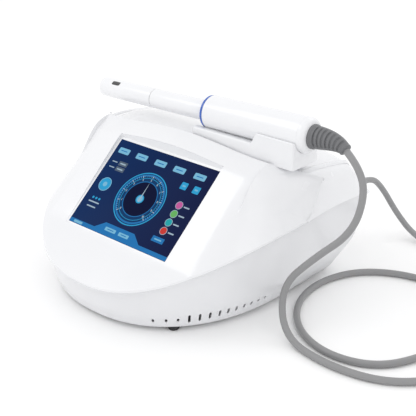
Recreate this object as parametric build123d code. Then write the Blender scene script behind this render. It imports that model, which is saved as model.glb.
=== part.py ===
from build123d import *
import math
import os

# Ultrasound therapy console with a cylindrical applicator lying in its cradle.
# Millimetres. +Z up, the user stands at -Y, the origin is on the resting surface
# under the middle of the housing. Every node is one STEP file in parts/.

# ---- housing: plan outlines are superellipse noses that run into straight flanks
HOUSING_HALF_WIDTH = 177.0      # at the widest point of the rim
HOUSING_FRONT = -164.0          # nose of the rim
HOUSING_REAR = 164.0            # rear face at the rim
NOSE_CENTRE_Y = 83.0            # where the nose curve becomes a straight flank
NOSE_POWER = 2.3                # fullness of the nose curve
WALL = 3.0
RIM_OVERHANG = 6.0              # how far the cover's rim stands out over the tray
FOOT_HEIGHT = 5.0
TRAY_HALF_WIDTH = 143.0         # flat underside
TRAY_FRONT = -148.0
TRAY_REAR = 134.0
TRAY_CENTRE_Y = 32.0
KNUCKLE_HALF_WIDTH = 161.0      # the edge where the tray's wall turns in underneath
KNUCKLE_FRONT = -154.0
KNUCKLE_REAR = 160.0
KNUCKLE_CENTRE_Y = 70.0
KNUCKLE_Z_FRONT = 20.0
KNUCKLE_Z_REAR = 46.0

# ---- seam between cover and tray, an arc seen from the side: (y, z) points
SEAM_FRONT = (-161.0, 50.0)
SEAM_MIDDLE = (29.0, 111.0)
SEAM_REAR = (164.0, 105.0)

# ---- screen: an 8 inch 4:3 panel
SCREEN_TILT = 40.7              # from the horizontal
SCREEN_CENTRE_Y = -61.0
SCREEN_CENTRE_Z = 120.0
ACTIVE_WIDTH = 162.0
ACTIVE_HEIGHT = 121.5
BEZEL_RIM = 3.0                 # width of the frame round the glass
BEZEL_WIDTH = ACTIVE_WIDTH + 2 * BEZEL_RIM
BEZEL_HEIGHT = ACTIVE_HEIGHT + 2 * BEZEL_RIM
BEZEL_DEPTH = 10.0
GLASS_THICK = 2.0
SILL = 2.0                      # ledge that the glass rests on
PANEL_TOP = GLASS_THICK + SILL  # depth of the panel's face below the glass's face
FIT = 0.4                       # play of the panel in its frame
BRACKET_THICK = 1.5
BOARD_THICK = 1.6
BOARD_STAND = 6.0               # gap between the bracket and the board behind it
STAND_X, STAND_V = 60.0, 42.0   # the board's four stand-offs, from the screen's middle
SCREEN = Location((0, SCREEN_CENTRE_Y, SCREEN_CENTRE_Z), (SCREEN_TILT, 0, 0))

# ---- cover: the sloped face rises above the screen and falls at the shoulders
CREST_Y = 11.0                  # rear edge of the sloped face
CROWN = 11.5                    # rise over the screen's upper edge
CROWN_MEAN, CROWN_SWING = 0.65, 0.35    # the crown falls off sideways as a cosine wave
CROWN_LEAST = 0.04              # share of the crown that is left in front of the screen
CREST_SLOPE = 0.45              # climb between the screen and the crest
CREST_HALF_WIDTH = 130.0        # where the crest ends and an ear begins
NOSE_LIFT = 0.0051              # flattening of the nose, per mm
SHOULDER_X = 116.0              # where the sloped face starts to fall towards the rim
SHOULDER_POWER = 1.5
SHOULDER_LEAST = 12.0           # least width of the falling strip, at the nose
LEAF_WALL = 4.05                # upright drop to the sloped face's inner side
RIM_STEP = 2.5                  # height of the cover's rim over the seam
EAR_X, EAR_Y, EAR_Z = HOUSING_HALF_WIDTH, 52.0, 158.0
CREASE_X, CREASE_Y, CREASE_Z = HOUSING_HALF_WIDTH - 4.0, 30.0, 112.0    # foot of an ear's rear edge
EAR_BLEND = 38.0                # how much further forward the crest's height reaches in its middle
DECK_Z = 175.0
DECK_HALF_WIDTH = HOUSING_HALF_WIDTH - 13.0
DECK_SIDE_Z = 156.0             # the deck falls to this height at its sides, below the ears
DECK_LEVEL_HALF_WIDTH = 124.0
DECK_FALL_Y = 60.0              # where the deck starts to fall to the rear
DECK_EDGE_Y = 129.0
DECK_EDGE_Z = 161.0
DECK_ROUND = 7.0
REAR_START_Y = -20.0            # hidden front end of the rear body, under the sloped face
REAR_START_Z = 163.0
REAR_BOTTOM = 60.0              # below the seam, trimmed off
REAR_FLANK = HOUSING_HALF_WIDTH - 2.0
BULKHEAD_HALF_WIDTH = 115.0     # opening between the hollows in front of and behind the crest
BULKHEAD_TOP = 160.0

# ---- applicator: its axis is nearly level, with the tip a little lower
AXIS_Y = 38.0
AXIS_Z = 203.6                  # at x = 0
AXIS_RISE = 1.7                 # degrees, rising towards the cable end
AXIS = Plane(origin=(0, AXIS_Y, AXIS_Z),
             x_dir=(-math.sin(math.radians(AXIS_RISE)), 0, math.cos(math.radians(AXIS_RISE))),
             z_dir=(math.cos(math.radians(AXIS_RISE)), 0, math.sin(math.radians(AXIS_RISE)))).location
SLEEVE_R = 20.5
SLEEVE_WALL = 2.5
SLEEVE_BORE_R = SLEEVE_R - SLEEVE_WALL
SLEEVE_START = 22.0             # distances along the axis from x = 0
SLEEVE_END = 168.0
SLEEVE_FRONT_WALL = 4.0
CAP_LENGTH = 9.0
CAP_ROUND = 7.5
CAP_START = SLEEVE_END - 8.0
CAP_FACE = CAP_START + CAP_LENGTH
CAP_HOLE_R = 6.0
SHAFT_R = 12.4
SHAFT_WALL = 1.8
SHAFT_BORE_R = SHAFT_R - SHAFT_WALL
SHAFT_OVERLAP = 14.0            # how far the shaft runs into the handle
SHAFT_END = -168.0              # the applicator's tip
JOINT_X = -73.0                 # cartridge parting line
RING_WIDTH = 3.4
RING_STEP = 0.4                 # the ring is this much lower than the sleeve
PARTING_GAP = 0.5
TIP_ROUND = 4.5
TIP_WALL = 6.0
SPIGOT_LENGTH = 12.0
GROOVE_X, GROOVE_WIDTH, GROOVE_DEPTH = JOINT_X + 4.0, 2.4, 1.6
RUNNING_FIT = 0.06
END_FLOAT = 0.3
SCREW_THREAD_R = 2.0
SCREW_START = SHAFT_END + 3.0
CARRIAGE_R = SHAFT_BORE_R - 1.0
CARRIAGE_HALF = 9.0
SEAT_R, SEAT_DEPTH = 4.5, 5.0
MOTOR_R, MOTOR_SHAFT_R = 13.0, 2.5
MOTOR_START, MOTOR_END = 64.0, 96.0
MOTOR_SHAFT_START, MOTOR_SHAFT_END = 52.0, 74.0
MOUNT_THICK = 4.0
COUPLING_R, COUPLING_START, COUPLING_END = 4.5, 42.0, 56.0
DRIVE_ROD_R = 1.5
WINDOW_X = -138.0
WINDOW_LENGTH = 14.0
WINDOW_WIDTH = 6.0
WINDOW_TURN = -35.0             # degrees the window faces forward of straight up
CRADLE_GAP = 0.35
CRADLE_SIDE = 3.0               # material each side of the handle
CRADLE_X = (10.0, 105.0, 160.0)    # front end, step up to the saddle, cable end
CRADLE_LOW = 15.0               # height of the trough's front over the deck

STRAIN_ROOT_R = 13.0
STRAIN_TIP_R = 6.25
STRAIN_TIP = (214.0, 34.0, 205.0)

# ---- pieces in the rear panel: (x, z) centres
PANEL_Z = (57.0, 101.0)
PANEL_X = (-132.0, 148.0)
TRAY_BACK = 160.0               # outer face of the tray's rear wall and of the panel
INLET_X = -98.0
SWITCH_X = -48.0
FAN_X = 16.0
FAN_HOLE_R = 20.0
SOCKET_X, SOCKET_Z = 125.0, 88.0
PANEL_MID_Z = 79.0
PANEL_FRONT = TRAY_BACK - WALL
FAN_DEPTH = 12.0
FAN_HALF = 22.0
HUB_R = 8.0
GRILLE_PITCH, GRILLE_SLOT = 5.4, 3.0
BLADES = 7
INLET_WIDTH, INLET_HEIGHT = 48.0, 38.0
INLET_DEPTH = 20.0
SWITCH_WIDTH, SWITCH_HEIGHT = 16.0, 24.0
ROCKER = (9.0, 6.0, 15.0)       # width, depth, height
ROCKER_GAP = 0.9
ROCKER_TILT = 7.0
PIVOT_R = 0.8
DRAWER = (22.0, 16.0, 7.0)      # width, depth, height
DRAWER_GAP = 0.35
SOCKET_R = 12.0
SOCKET_FACE = 163.5
PLUG_R = 9.5
PLUG_START = 163.8
PLUG_END = 186.0
BOOT_END = 206.0

# ---- underside: vents on the flanks, feet and case screws at (x, y)
FLOOR_TOP = FOOT_HEIGHT + WALL
VENT_COUNT = 13
VENT_FROM_Y = -128.0
VENT_PITCH = 9.6
VENT_WIDTH = 3.2
VENT_Z, VENT_CLIMB = 16.0, 0.5  # middle of the first slot, and the step up to each next one
DOTS = 3                        # the first few are short
DOT_HEIGHT, SLOT_HEIGHT, SLOT_SHRINK = 5.0, 12.0, 0.9
FOOT_R = 6.5
FOOT_CHAMFER = 0.8
FOOT_PLACES = [(-92.0, -106.0), (92.0, -106.0), (-115.0, 105.0), (115.0, 105.0)]
SCREW_PLACES = [(-78.0, -92.0), (78.0, -92.0), (-100.0, 118.0), (100.0, 118.0)]
BOSS_R, BOSS_HEIGHT = 5.0, 14.0
SCREW_HEAD_R, SCREW_HEAD_HEIGHT = 3.5, 2.4
SCREW_R = 1.6
SCREW_LENGTH = 13.0             # from the head's underside level to the tip

# ---- electronics on the tray's floor: x0, x1, y0, y1 and heights
SUPPLY = (-128.0, -28.0, 20.0, 104.0, FLOOR_TOP, 46.0)
BOARD_BOX = (0.0, 112.0, 14.0, 100.0)
BOARD_Z = FLOOR_TOP + 12.0
BOARD_HOLES = [(8.0, 22.0), (104.0, 22.0), (8.0, 92.0), (104.0, 92.0)]
STANDOFF_R = 3.2
SINK = (14.0, 66.0, 40.0, 80.0)
SINK_BASE, SINK_HEIGHT = 4.0, 30.0
FINS = 9

# ---- cable: a hose that lies in a loose loop beside the housing
CABLE_D = 8.0
CABLE_END_GAP = 0.3             # to the strain relief, which lifts away with the applicator
CABLE_ROUTE = [
    (213.5, 34, 205.2), (233, 30, 193.5), (248, 24, 168), (243, 12, 125), (206, -2, 88),
    (178, -23, 52), (200, -44, 4.2), (267, -57, 4.2), (333, -42, 4.2), (376, 12, 4.2),
    (382, 82, 4.2), (352, 146, 4.2), (290, 180, 4.2), (222, 173, 4.2), (174, 140, 4.2),
    (155, 85, 4.2), (164, 28, 4.2), (200, -20, 4.2), (252, -41, 4.2), (306, -26, 4.2),
    (334, 24, 4.2), (342, 80, 4.2), (334, 128, 18), (312, 184, 18), (278, 232, 4.2),
    (224, 262, 4.2), (178, 272, 7), (146, 276, 30), (128, 264, 66), (125, 238, 88),
    (125, 206.3, 88),
]

def solid_of(shape):
    """The largest solid of a boolean's result."""
    return max(shape.solids(), key=lambda s: s.volume)


def nose_half_width(y, half_width, front, centre):
    """Half width of a plan outline at y: a superellipse before centre, straight after it."""
    if y >= centre:
        return half_width
    reach = min(1.0, (centre - y) / (centre - front))
    return half_width * (1 - reach ** NOSE_POWER) ** (1 / NOSE_POWER)


def plan_outline(half_width, front, centre, rear, inset=0.0):
    """Closed plan wire of the housing: a spline nose, two flanks and a straight rear edge."""
    steps = 9
    turns = [math.pi / 2 * i / steps for i in range(steps + 1)]
    right = []
    for turn in turns:
        x = (half_width - inset) * math.sin(turn) ** (2 / NOSE_POWER)
        y = centre - (centre - front - inset) * math.cos(turn) ** (2 / NOSE_POWER)
        right.append((x, y))
    left = [(-x, y) for x, y in right[1:]]
    nose = Spline(*[*left[::-1], *right], tangents=[(0, -1), (0, 1)])
    back = rear - inset
    flanks = Polyline(nose @ 1, (half_width - inset, back), (-half_width + inset, back), nose @ 0)
    return Face(Wire([nose, *flanks.edges()]))


def seam_height(y):
    """Height of the seam surface at y, on the circle through its three points."""
    (y1, z1), (y2, z2), (y3, z3) = SEAM_FRONT, SEAM_MIDDLE, SEAM_REAR
    d = 2 * (y1 * (z2 - z3) + y2 * (z3 - z1) + y3 * (z1 - z2))
    s1, s2, s3 = y1 * y1 + z1 * z1, y2 * y2 + z2 * z2, y3 * y3 + z3 * z3
    yc = (s1 * (z2 - z3) + s2 * (z3 - z1) + s3 * (z1 - z2)) / d
    zc = (s1 * (y3 - y2) + s2 * (y1 - y3) + s3 * (y2 - y1)) / d
    return zc + math.sqrt((y1 - yc) ** 2 + (z1 - zc) ** 2 - (y - yc) ** 2)


def above_seam(raised=0.0):
    """Everything above the seam surface, as a block that is wider than the housing."""
    front, middle, rear = [(y, z + raised) for y, z in (SEAM_FRONT, SEAM_MIDDLE, SEAM_REAR)]
    start = (front[0] - 40, front[1] - 26)
    end = (rear[0] + 40, rear[1] - 4)
    arc = ThreePointArc(front, middle, rear)
    top = Polyline(end, (end[0], 400), (start[0], 400), start)
    face = Face(Wire([Line(start, front), arc, Line(rear, end), *top.edges()]))
    return extrude(Plane.YZ * face, amount=260.0, both=True)


def leaf_height(x, y):
    """Height of the cover's sloped face over the plan point (x, y)."""
    v = y - SCREEN_CENTRE_Y
    half = ACTIVE_HEIGHT / 2 * math.cos(math.radians(SCREEN_TILT))
    slope = math.tan(math.radians(SCREEN_TILT))
    climb = min(v, half)
    share = (climb + half) / (2 * half)
    sideways = min(abs(x) / CREST_HALF_WIDTH, 1.0)
    crown = CROWN * max(share, CROWN_LEAST) * (CROWN_MEAN + CROWN_SWING * math.cos(math.pi * sideways))
    top = SCREEN_CENTRE_Z + slope * climb + crown + CREST_SLOPE * max(0.0, v - half)
    top += NOSE_LIFT * max(0.0, -half - v) ** 2
    top = max(top, seam_height(y) + RIM_STEP)
    if abs(x) <= SHOULDER_X:
        return top
    wide = nose_half_width(y, HOUSING_HALF_WIDTH, HOUSING_FRONT, NOSE_CENTRE_Y)
    edge = max(wide, SHOULDER_X + SHOULDER_LEAST)
    rim = seam_height(min(y, CREASE_Y)) + RIM_STEP
    share = min((abs(x) - SHOULDER_X) / (edge - SHOULDER_X), 1.6)
    fallen = top + min(0.0, rim - top) * share ** SHOULDER_POWER
    along = max(0.0, (abs(x) - CREST_HALF_WIDTH) / (EAR_X - CREST_HALF_WIDTH))
    ridge = DECK_Z + (EAR_Z - DECK_Z) * along if along else top
    ridge_y = CREST_Y + (EAR_Y - CREST_Y) * along
    reach = EAR_Y - CREASE_Y + EAR_BLEND * max(0.0, 1 - along)
    nearness = min(1.0, max(0.0, 1 + (y - ridge_y) / reach))
    nearness = nearness * nearness * (3 - 2 * nearness)
    return fallen + (ridge - fallen) * nearness


def leaf_block(drop=0.0):
    """Solid under the sloped face, lowered by drop, over the whole plan."""
    xs = [-200.0 + 12.5 * i for i in range(33)]
    ys = [-180.0 + 12.0 * i for i in range(21)]
    grid = [[Vector(x, y, leaf_height(x, y) - drop) for y in ys] for x in xs]
    face = Face.make_surface_from_array_of_points(grid, tol=0.3, min_deg=3, max_deg=3)
    return Solid.extrude(face, Vector(0, 0, -320))


def leaf_space():
    """The space that the sloped face keeps: all in front of the crest, and the two ears."""
    front = Pos(0, CREST_Y - 150, 0) * Box(500, 300, 700)
    crest_end = Vector(CREST_HALF_WIDTH, CREST_Y, DECK_Z)
    ear = Vector(EAR_X, EAR_Y, EAR_Z) - crest_end
    crease = Vector(CREASE_X, CREASE_Y, CREASE_Z) - crest_end
    lean = Plane(origin=crest_end, x_dir=ear, z_dir=ear.cross(crease))
    wing = block(SHOULDER_X - 1, HOUSING_HALF_WIDTH + 28, -120, 120, -50, 250)
    right = split(wing, bisect_by=lean, keep=Keep.TOP)
    if right.bounding_box().max.Y > 100:
        right = split(wing, bisect_by=lean, keep=Keep.BOTTOM)
    return front + right + mirror(right, about=Plane.YZ)


def rear_block(inset=0.0):
    """Solid under the deck and the rear face: a side profile with flanks that lean inwards."""
    front = REAR_START_Y + inset
    back = HOUSING_REAR - inset * 1.1
    corners = [(front, REAR_BOTTOM), (front, REAR_START_Z - inset), (CREST_Y, DECK_Z - inset),
               (DECK_FALL_Y, DECK_Z - inset), (DECK_EDGE_Y - inset * 0.6, DECK_EDGE_Z - inset * 1.1),
               (back, SEAM_REAR[1] - 1), (back, REAR_BOTTOM)]
    profile = Plane.YZ * make_face(Polyline(*corners, close=True))
    flank = [(REAR_FLANK - inset, REAR_BOTTOM), (REAR_FLANK - inset, SEAM_REAR[1] + 1),
             (DECK_HALF_WIDTH - inset, DECK_SIDE_Z - inset * 0.6),
             (DECK_LEVEL_HALF_WIDTH - inset * 0.5, DECK_Z + 1 - inset * 1.2),
             (DECK_LEVEL_HALF_WIDTH - inset * 0.5, DECK_Z + 15)]
    section = Plane.XZ * make_face(Polyline(*flank, *[(-x, z) for x, z in flank[::-1]], close=True))
    return extrude(profile, HOUSING_HALF_WIDTH + 13, both=True) & extrude(section, 300, both=True)


def slab(width, height, top, thickness, x=0.0, v=0.0):
    """A box parallel to the screen; top is its upper face's depth below the screen plane."""
    return SCREEN * Pos(x, v, -top - thickness / 2) * Box(width, height, thickness)


def screen_shaft(extra=0.0):
    """Upright prism over the screen's plan footprint, from the screen plane upwards."""
    depth = BEZEL_HEIGHT * math.cos(math.radians(SCREEN_TILT)) + 2 * extra
    column = Pos(0, SCREEN_CENTRE_Y, SCREEN_CENTRE_Z) * Box(BEZEL_WIDTH + 2 * extra, depth, 200)
    return column & slab(400, 300, -200, 200 + extra)


def top_cover():
    """The upper housing: a shell over the seam, open below, with the screen's pocket."""
    rim = extrude(plan_outline(HOUSING_HALF_WIDTH, HOUSING_FRONT, NOSE_CENTRE_Y, 200.0), 300)
    rim_inner = extrude(plan_outline(HOUSING_HALF_WIDTH, HOUSING_FRONT, NOSE_CENTRE_Y, 200.0, WALL), 300)
    space = leaf_space()
    rear = rear_block()
    top_edges = rear.edges().filter_by(lambda e: e.center().Z > 130 and e.center().Y > 20)
    outer = (leaf_block() & rim & space) + (fillet(top_edges, DECK_ROUND) - space)
    front_hollow = leaf_block(LEAF_WALL) & rim_inner & (Pos(0, -WALL, 0) * space)
    rear_hollow = rear_block(WALL) - Pos(0, WALL, 0) * space
    opening = block(-BULKHEAD_HALF_WIDTH, BULKHEAD_HALF_WIDTH, CREST_Y - 2 * WALL, CREST_Y + 2 * WALL,
                    REAR_BOTTOM, BULKHEAD_TOP)
    hollow = front_hollow + rear_hollow + opening
    hollow -= screen_shaft(WALL)
    shell = (outer - hollow) & above_seam()
    shell -= screen_shaft()
    shell -= slab(BEZEL_WIDTH, BEZEL_HEIGHT, 0, 60)
    return solid_of(shell)


def tray_loft(inset=0.0, floor=FOOT_HEIGHT, top=125.0):
    """The lower housing's hull: seam outline, tilted knuckle outline and flat underside."""
    half = HOUSING_HALF_WIDTH - RIM_OVERHANG
    upper = Pos(0, 0, top) * plan_outline(half, HOUSING_FRONT + RIM_OVERHANG, NOSE_CENTRE_Y,
                                          TRAY_BACK, inset)
    length = KNUCKLE_REAR - KNUCKLE_FRONT
    tilt = math.degrees(math.atan2(KNUCKLE_Z_REAR - KNUCKLE_Z_FRONT, length))
    middle = (KNUCKLE_Z_FRONT + KNUCKLE_Z_REAR) / 2
    knuckle = Location((0, 0, middle + inset * 0.4), (tilt, 0, 0)) * plan_outline(
        KNUCKLE_HALF_WIDTH, KNUCKLE_FRONT, KNUCKLE_CENTRE_Y, KNUCKLE_REAR, inset)
    under = Pos(0, 0, floor) * plan_outline(TRAY_HALF_WIDTH, TRAY_FRONT, TRAY_CENTRE_Y, TRAY_REAR, inset)
    return loft([upper, knuckle], ruled=True) + loft([knuckle, under], ruled=True)


def vent_cutters():
    """Upright slots through the tray's lower band on both flanks: short, tall, then dots."""
    cutters = []
    for i in range(VENT_COUNT):
        y = VENT_FROM_Y + VENT_PITCH * i * (1 - 0.015 * (6 - i) * (i < 6))
        x = nose_half_width(y, TRAY_HALF_WIDTH + 7, TRAY_FRONT - 2, TRAY_CENTRE_Y + 8)
        ahead = nose_half_width(y + 1, TRAY_HALF_WIDTH + 7, TRAY_FRONT - 2, TRAY_CENTRE_Y + 8)
        turn = -math.degrees(math.atan2(ahead - x, 1.0))
        height = DOT_HEIGHT if i < DOTS else SLOT_HEIGHT - SLOT_SHRINK * (i - DOTS)
        slot = Location((x, y, VENT_Z + VENT_CLIMB * i), (0, 0, turn)) * Box(34, VENT_WIDTH, height)
        cutters += [slot, mirror(slot, about=Plane.YZ)]
    return cutters


def rod_z(r, x, y, z0, z1):
    return Pos(x, y, (z0 + z1) / 2) * Cylinder(r, z1 - z0)


def rod_y(r, x, z, y0, y1):
    return Location((x, (y0 + y1) / 2, z), (90, 0, 0)) * Cylinder(r, y1 - y0)


def block(x0, x1, y0, y1, z0, z1):
    return Pos((x0 + x1) / 2, (y0 + y1) / 2, (z0 + z1) / 2) * Box(x1 - x0, y1 - y0, z1 - z0)


def base_tray():
    """The lower housing: hull wall and floor, a flange under the cover's rim, and screw bosses."""
    hull = tray_loft() - tray_loft(WALL, FLOOR_TOP, 126.0)
    flange = extrude(plan_outline(HOUSING_HALF_WIDTH - 1, HOUSING_FRONT + 1, NOSE_CENTRE_Y, HOUSING_REAR), 130)
    flange -= extrude(plan_outline(HOUSING_HALF_WIDTH, HOUSING_FRONT, NOSE_CENTRE_Y, HOUSING_REAR, 9.5), 131)
    flange -= above_seam()
    flange &= above_seam(-3.0)
    tray = hull - above_seam() + flange
    for x, y in SCREW_PLACES:
        tray += rod_z(BOSS_R, x, y, FLOOR_TOP - 0.5, FLOOR_TOP + BOSS_HEIGHT)
        tray -= rod_z(SCREW_HEAD_R + 0.2, x, y, FOOT_HEIGHT - 1, FOOT_HEIGHT + SCREW_HEAD_HEIGHT)
        tray -= rod_z(SCREW_R, x, y, FOOT_HEIGHT, FOOT_HEIGHT + SCREW_LENGTH + 2)
    tray -= block(*PANEL_X, TRAY_BACK - WALL - 1, TRAY_BACK + 1, *PANEL_Z)
    for cutter in vent_cutters():
        tray -= cutter
    return solid_of(tray)


def rubber_feet():
    feet = [rod_z(FOOT_R, x, y, 0, FOOT_HEIGHT) for x, y in FOOT_PLACES]
    return Compound([chamfer(f.edges().group_by(Axis.Z)[0], FOOT_CHAMFER).solid() for f in feet])


def case_screws():
    screws = []
    for x, y in SCREW_PLACES:
        head = rod_z(SCREW_HEAD_R, x, y, FOOT_HEIGHT, FOOT_HEIGHT + SCREW_HEAD_HEIGHT)
        head -= Pos(x, y, FOOT_HEIGHT) * Box(4.4, 1, 2) + Pos(x, y, FOOT_HEIGHT) * Box(1, 4.4, 2)
        screws.append((head + rod_z(SCREW_R, x, y, FOOT_HEIGHT + 1.5, FOOT_HEIGHT + SCREW_LENGTH)).solid())
    return Compound(screws)


def screen_bezel():
    frame = slab(BEZEL_WIDTH, BEZEL_HEIGHT, 0, BEZEL_DEPTH)
    frame -= slab(ACTIVE_WIDTH, ACTIVE_HEIGHT, -1, GLASS_THICK + 1)
    frame -= slab(ACTIVE_WIDTH - 5, ACTIVE_HEIGHT - 5, -1, BEZEL_DEPTH + 2)
    frame -= slab(ACTIVE_WIDTH, ACTIVE_HEIGHT, PANEL_TOP, BEZEL_DEPTH)
    return frame.solid()


def touch_glass():
    return slab(ACTIVE_WIDTH, ACTIVE_HEIGHT, 0, GLASS_THICK).solid()


def lcd_panel():
    return slab(ACTIVE_WIDTH - FIT, ACTIVE_HEIGHT - FIT, PANEL_TOP, BEZEL_DEPTH - PANEL_TOP).solid()


def display_bracket():
    plate = slab(BEZEL_WIDTH, BEZEL_HEIGHT, BEZEL_DEPTH, BRACKET_THICK)
    plate -= slab(90, 50, BEZEL_DEPTH - 1, BRACKET_THICK + 2)
    for x in (-STAND_X, STAND_X):
        for v in (-STAND_V, STAND_V):
            top = BEZEL_DEPTH + BRACKET_THICK
            plate += SCREEN * Pos(x, v, -top - BOARD_STAND / 2 + 0.2) * Cylinder(3, BOARD_STAND + 0.4)
    return plate.solid()


def display_board():
    top = BEZEL_DEPTH + BRACKET_THICK + BOARD_STAND
    board = slab(130, 92, top, BOARD_THICK)
    for x, v, w, h, t in ((-30, 10, 28, 28, 2.0), (20, 18, 16, 20, 1.6), (28, -18, 22, 12, 3.0)):
        board += slab(w, h, top + BOARD_THICK - 0.1, t, x, v)
    return board.solid()


def power_supply():
    x0, x1, y0, y1, z0, z1 = SUPPLY
    body = block(x0, x1, y0, y1, z0, z1)
    for i in range(9):
        x = x0 + 14 + 9 * i
        body -= block(x, x + 4, y0 + 12, y1 - 12, z1 - 1.2, z1 + 1)
    body += block(x0 + 20, x0 + 80, y1 - 0.5, y1 + 9, z0 + 4, z0 + 16)
    return body.solid()


def generator_board():
    x0, x1, y0, y1 = BOARD_BOX
    board = block(x0, x1, y0, y1, BOARD_Z, BOARD_Z + BOARD_THICK)
    top = BOARD_Z + BOARD_THICK - 0.1
    board += rod_z(13, 88, 40, top, top + 14)
    board += rod_z(6, 86, 66, top, top + 22) + rod_z(6, 100, 66, top, top + 22)
    board += block(20, 44, 84, 96, top, top + 12)
    board += block(14, 30, 20, 34, top, top + 3)
    return board.solid()


def board_standoffs():
    posts = [rod_z(STANDOFF_R, x, y, FLOOR_TOP, BOARD_Z) for x, y in BOARD_HOLES]
    return Compound([p.solid() for p in posts])


def heat_sink():
    x0, x1, y0, y1 = SINK
    z0 = BOARD_Z + BOARD_THICK
    sink = block(x0, x1, y0, y1, z0, z0 + SINK_BASE)
    for i in range(FINS):
        x = x0 + (x1 - x0 - 2) * i / (FINS - 1)
        sink += block(x, x + 2, y0, y1, z0 + SINK_BASE - 0.5, z0 + SINK_HEIGHT)
    return sink.solid()


def rear_panel():
    """Plate in the tray's rear opening, with a slotted grille over the fan."""
    z0, z1 = PANEL_Z
    plate = block(*PANEL_X, PANEL_FRONT, TRAY_BACK, z0, z1)
    behind, ahead = PANEL_FRONT - 5, TRAY_BACK + 10
    for x, width, height in ((INLET_X, INLET_WIDTH, INLET_HEIGHT), (SWITCH_X, SWITCH_WIDTH, SWITCH_HEIGHT)):
        plate -= block(x - width / 2, x + width / 2, behind, ahead,
                       PANEL_MID_Z - height / 2, PANEL_MID_Z + height / 2)
    for i in range(-3, 4):
        half = math.sqrt(FAN_HOLE_R ** 2 - (GRILLE_PITCH * i) ** 2) - 0.8
        x = FAN_X + GRILLE_PITCH * i
        plate -= block(x - GRILLE_SLOT / 2, x + GRILLE_SLOT / 2, behind, ahead,
                       PANEL_MID_Z - half, PANEL_MID_Z + half)
    plate -= rod_y(SOCKET_R, SOCKET_X, SOCKET_Z, behind, ahead)
    return plate.solid()


def power_inlet():
    """Three-pin mains inlet, with the fuse drawer's slot below its recess."""
    z0, z1 = PANEL_MID_Z - INLET_HEIGHT / 2, PANEL_MID_Z + INLET_HEIGHT / 2
    body = block(INLET_X - INLET_WIDTH / 2, INLET_X + INLET_WIDTH / 2, TRAY_BACK - INLET_DEPTH,
                 TRAY_BACK + 1.5, z0, z1)
    recess = block(INLET_X - 12, INLET_X + 12, TRAY_BACK - 15, TRAY_BACK + 3, z0 + 16, z0 + 33)
    body -= recess
    for x, z in ((-7, 22), (7, 22), (0, 27)):
        body += block(INLET_X + x - 1, INLET_X + x + 1, TRAY_BACK - 15.5, TRAY_BACK - 6,
                      z0 + z - 2, z0 + z + 2)
    w, d, h = DRAWER
    g = DRAWER_GAP
    body -= block(INLET_X - w / 2 - g, INLET_X + w / 2 + g, TRAY_BACK - d - g, TRAY_BACK + 3,
                  z0 + 4 - g, z0 + 4 + h + g)
    return body.solid()


def fuse_drawer():
    w, d, h = DRAWER
    z0 = PANEL_MID_Z - INLET_HEIGHT / 2 + 4
    drawer = block(INLET_X - w / 2, INLET_X + w / 2, TRAY_BACK - d, TRAY_BACK + 1.5, z0, z0 + h)
    drawer += block(INLET_X - w / 2 - 2, INLET_X + w / 2 + 2, TRAY_BACK + 1.8, TRAY_BACK + 3.5, z0 - 1, z0 + h + 1)
    drawer += block(INLET_X - w / 2, INLET_X + w / 2, TRAY_BACK + 1, TRAY_BACK + 2.5, z0, z0 + h)
    return drawer.solid()


def power_switch_frame():
    """Open box in the panel that holds the rocker on two short pins."""
    frame = block(SWITCH_X - SWITCH_WIDTH / 2, SWITCH_X + SWITCH_WIDTH / 2, TRAY_BACK - 14, TRAY_BACK + 1,
                  PANEL_MID_Z - SWITCH_HEIGHT / 2, PANEL_MID_Z + SWITCH_HEIGHT / 2)
    w, d, h = ROCKER
    g = ROCKER_GAP
    frame -= block(SWITCH_X - w / 2 - g, SWITCH_X + w / 2 + g, TRAY_BACK - 10, TRAY_BACK + 3,
                   PANEL_MID_Z - h / 2 - g, PANEL_MID_Z + h / 2 + g)
    frame -= pivot_pin(PIVOT_R + RUNNING_FIT, END_FLOAT)
    return frame.solid()


def pivot_pin(r, extra=0.0):
    """The rocker's pin along X, which reaches a little way into both sides of the frame."""
    length = ROCKER[0] + 2 * (ROCKER_GAP + 1.2 + extra)
    return Location((SWITCH_X, TRAY_BACK, PANEL_MID_Z), (0, 90, 0)) * Cylinder(r, length)


def power_rocker():
    """Rocker that stands tilted in its frame, pressed in at one end."""
    rocker = Location((SWITCH_X, TRAY_BACK, PANEL_MID_Z), (ROCKER_TILT, 0, 0)) * Box(*ROCKER)
    return (rocker + pivot_pin(PIVOT_R)).solid()


def fan_frame():
    frame = block(FAN_X - FAN_HALF, FAN_X + FAN_HALF, PANEL_FRONT - FAN_DEPTH, PANEL_FRONT,
                  PANEL_MID_Z - FAN_HALF, PANEL_MID_Z + FAN_HALF)
    frame -= rod_y(FAN_HOLE_R, FAN_X, PANEL_MID_Z, 100, 200)
    hub = rod_y(HUB_R, FAN_X, PANEL_MID_Z, PANEL_FRONT - FAN_DEPTH, PANEL_FRONT - FAN_DEPTH + 3)
    frame += hub
    for turn in (0, 120, 240):
        arm = Location((FAN_X, PANEL_FRONT - FAN_DEPTH + 1.5, PANEL_MID_Z), (0, turn, 0)) * Pos(0, 0, 14)
        frame += arm * Box(3, 3, 14)
    return frame.solid()


def fan_rotor():
    y0, y1 = PANEL_FRONT - FAN_DEPTH + 3.5, PANEL_FRONT - 1.2
    rotor = rod_y(HUB_R, FAN_X, PANEL_MID_Z, y0, y1)
    for i in range(BLADES):
        spin = Location((FAN_X, (y0 + y1) / 2, PANEL_MID_Z), (0, 360 / BLADES * i, 0))
        rotor += spin * Location((0, 0, 13), (0, 0, 35)) * Box(1.2, 8.5, 11)
    return rotor.solid()


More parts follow.
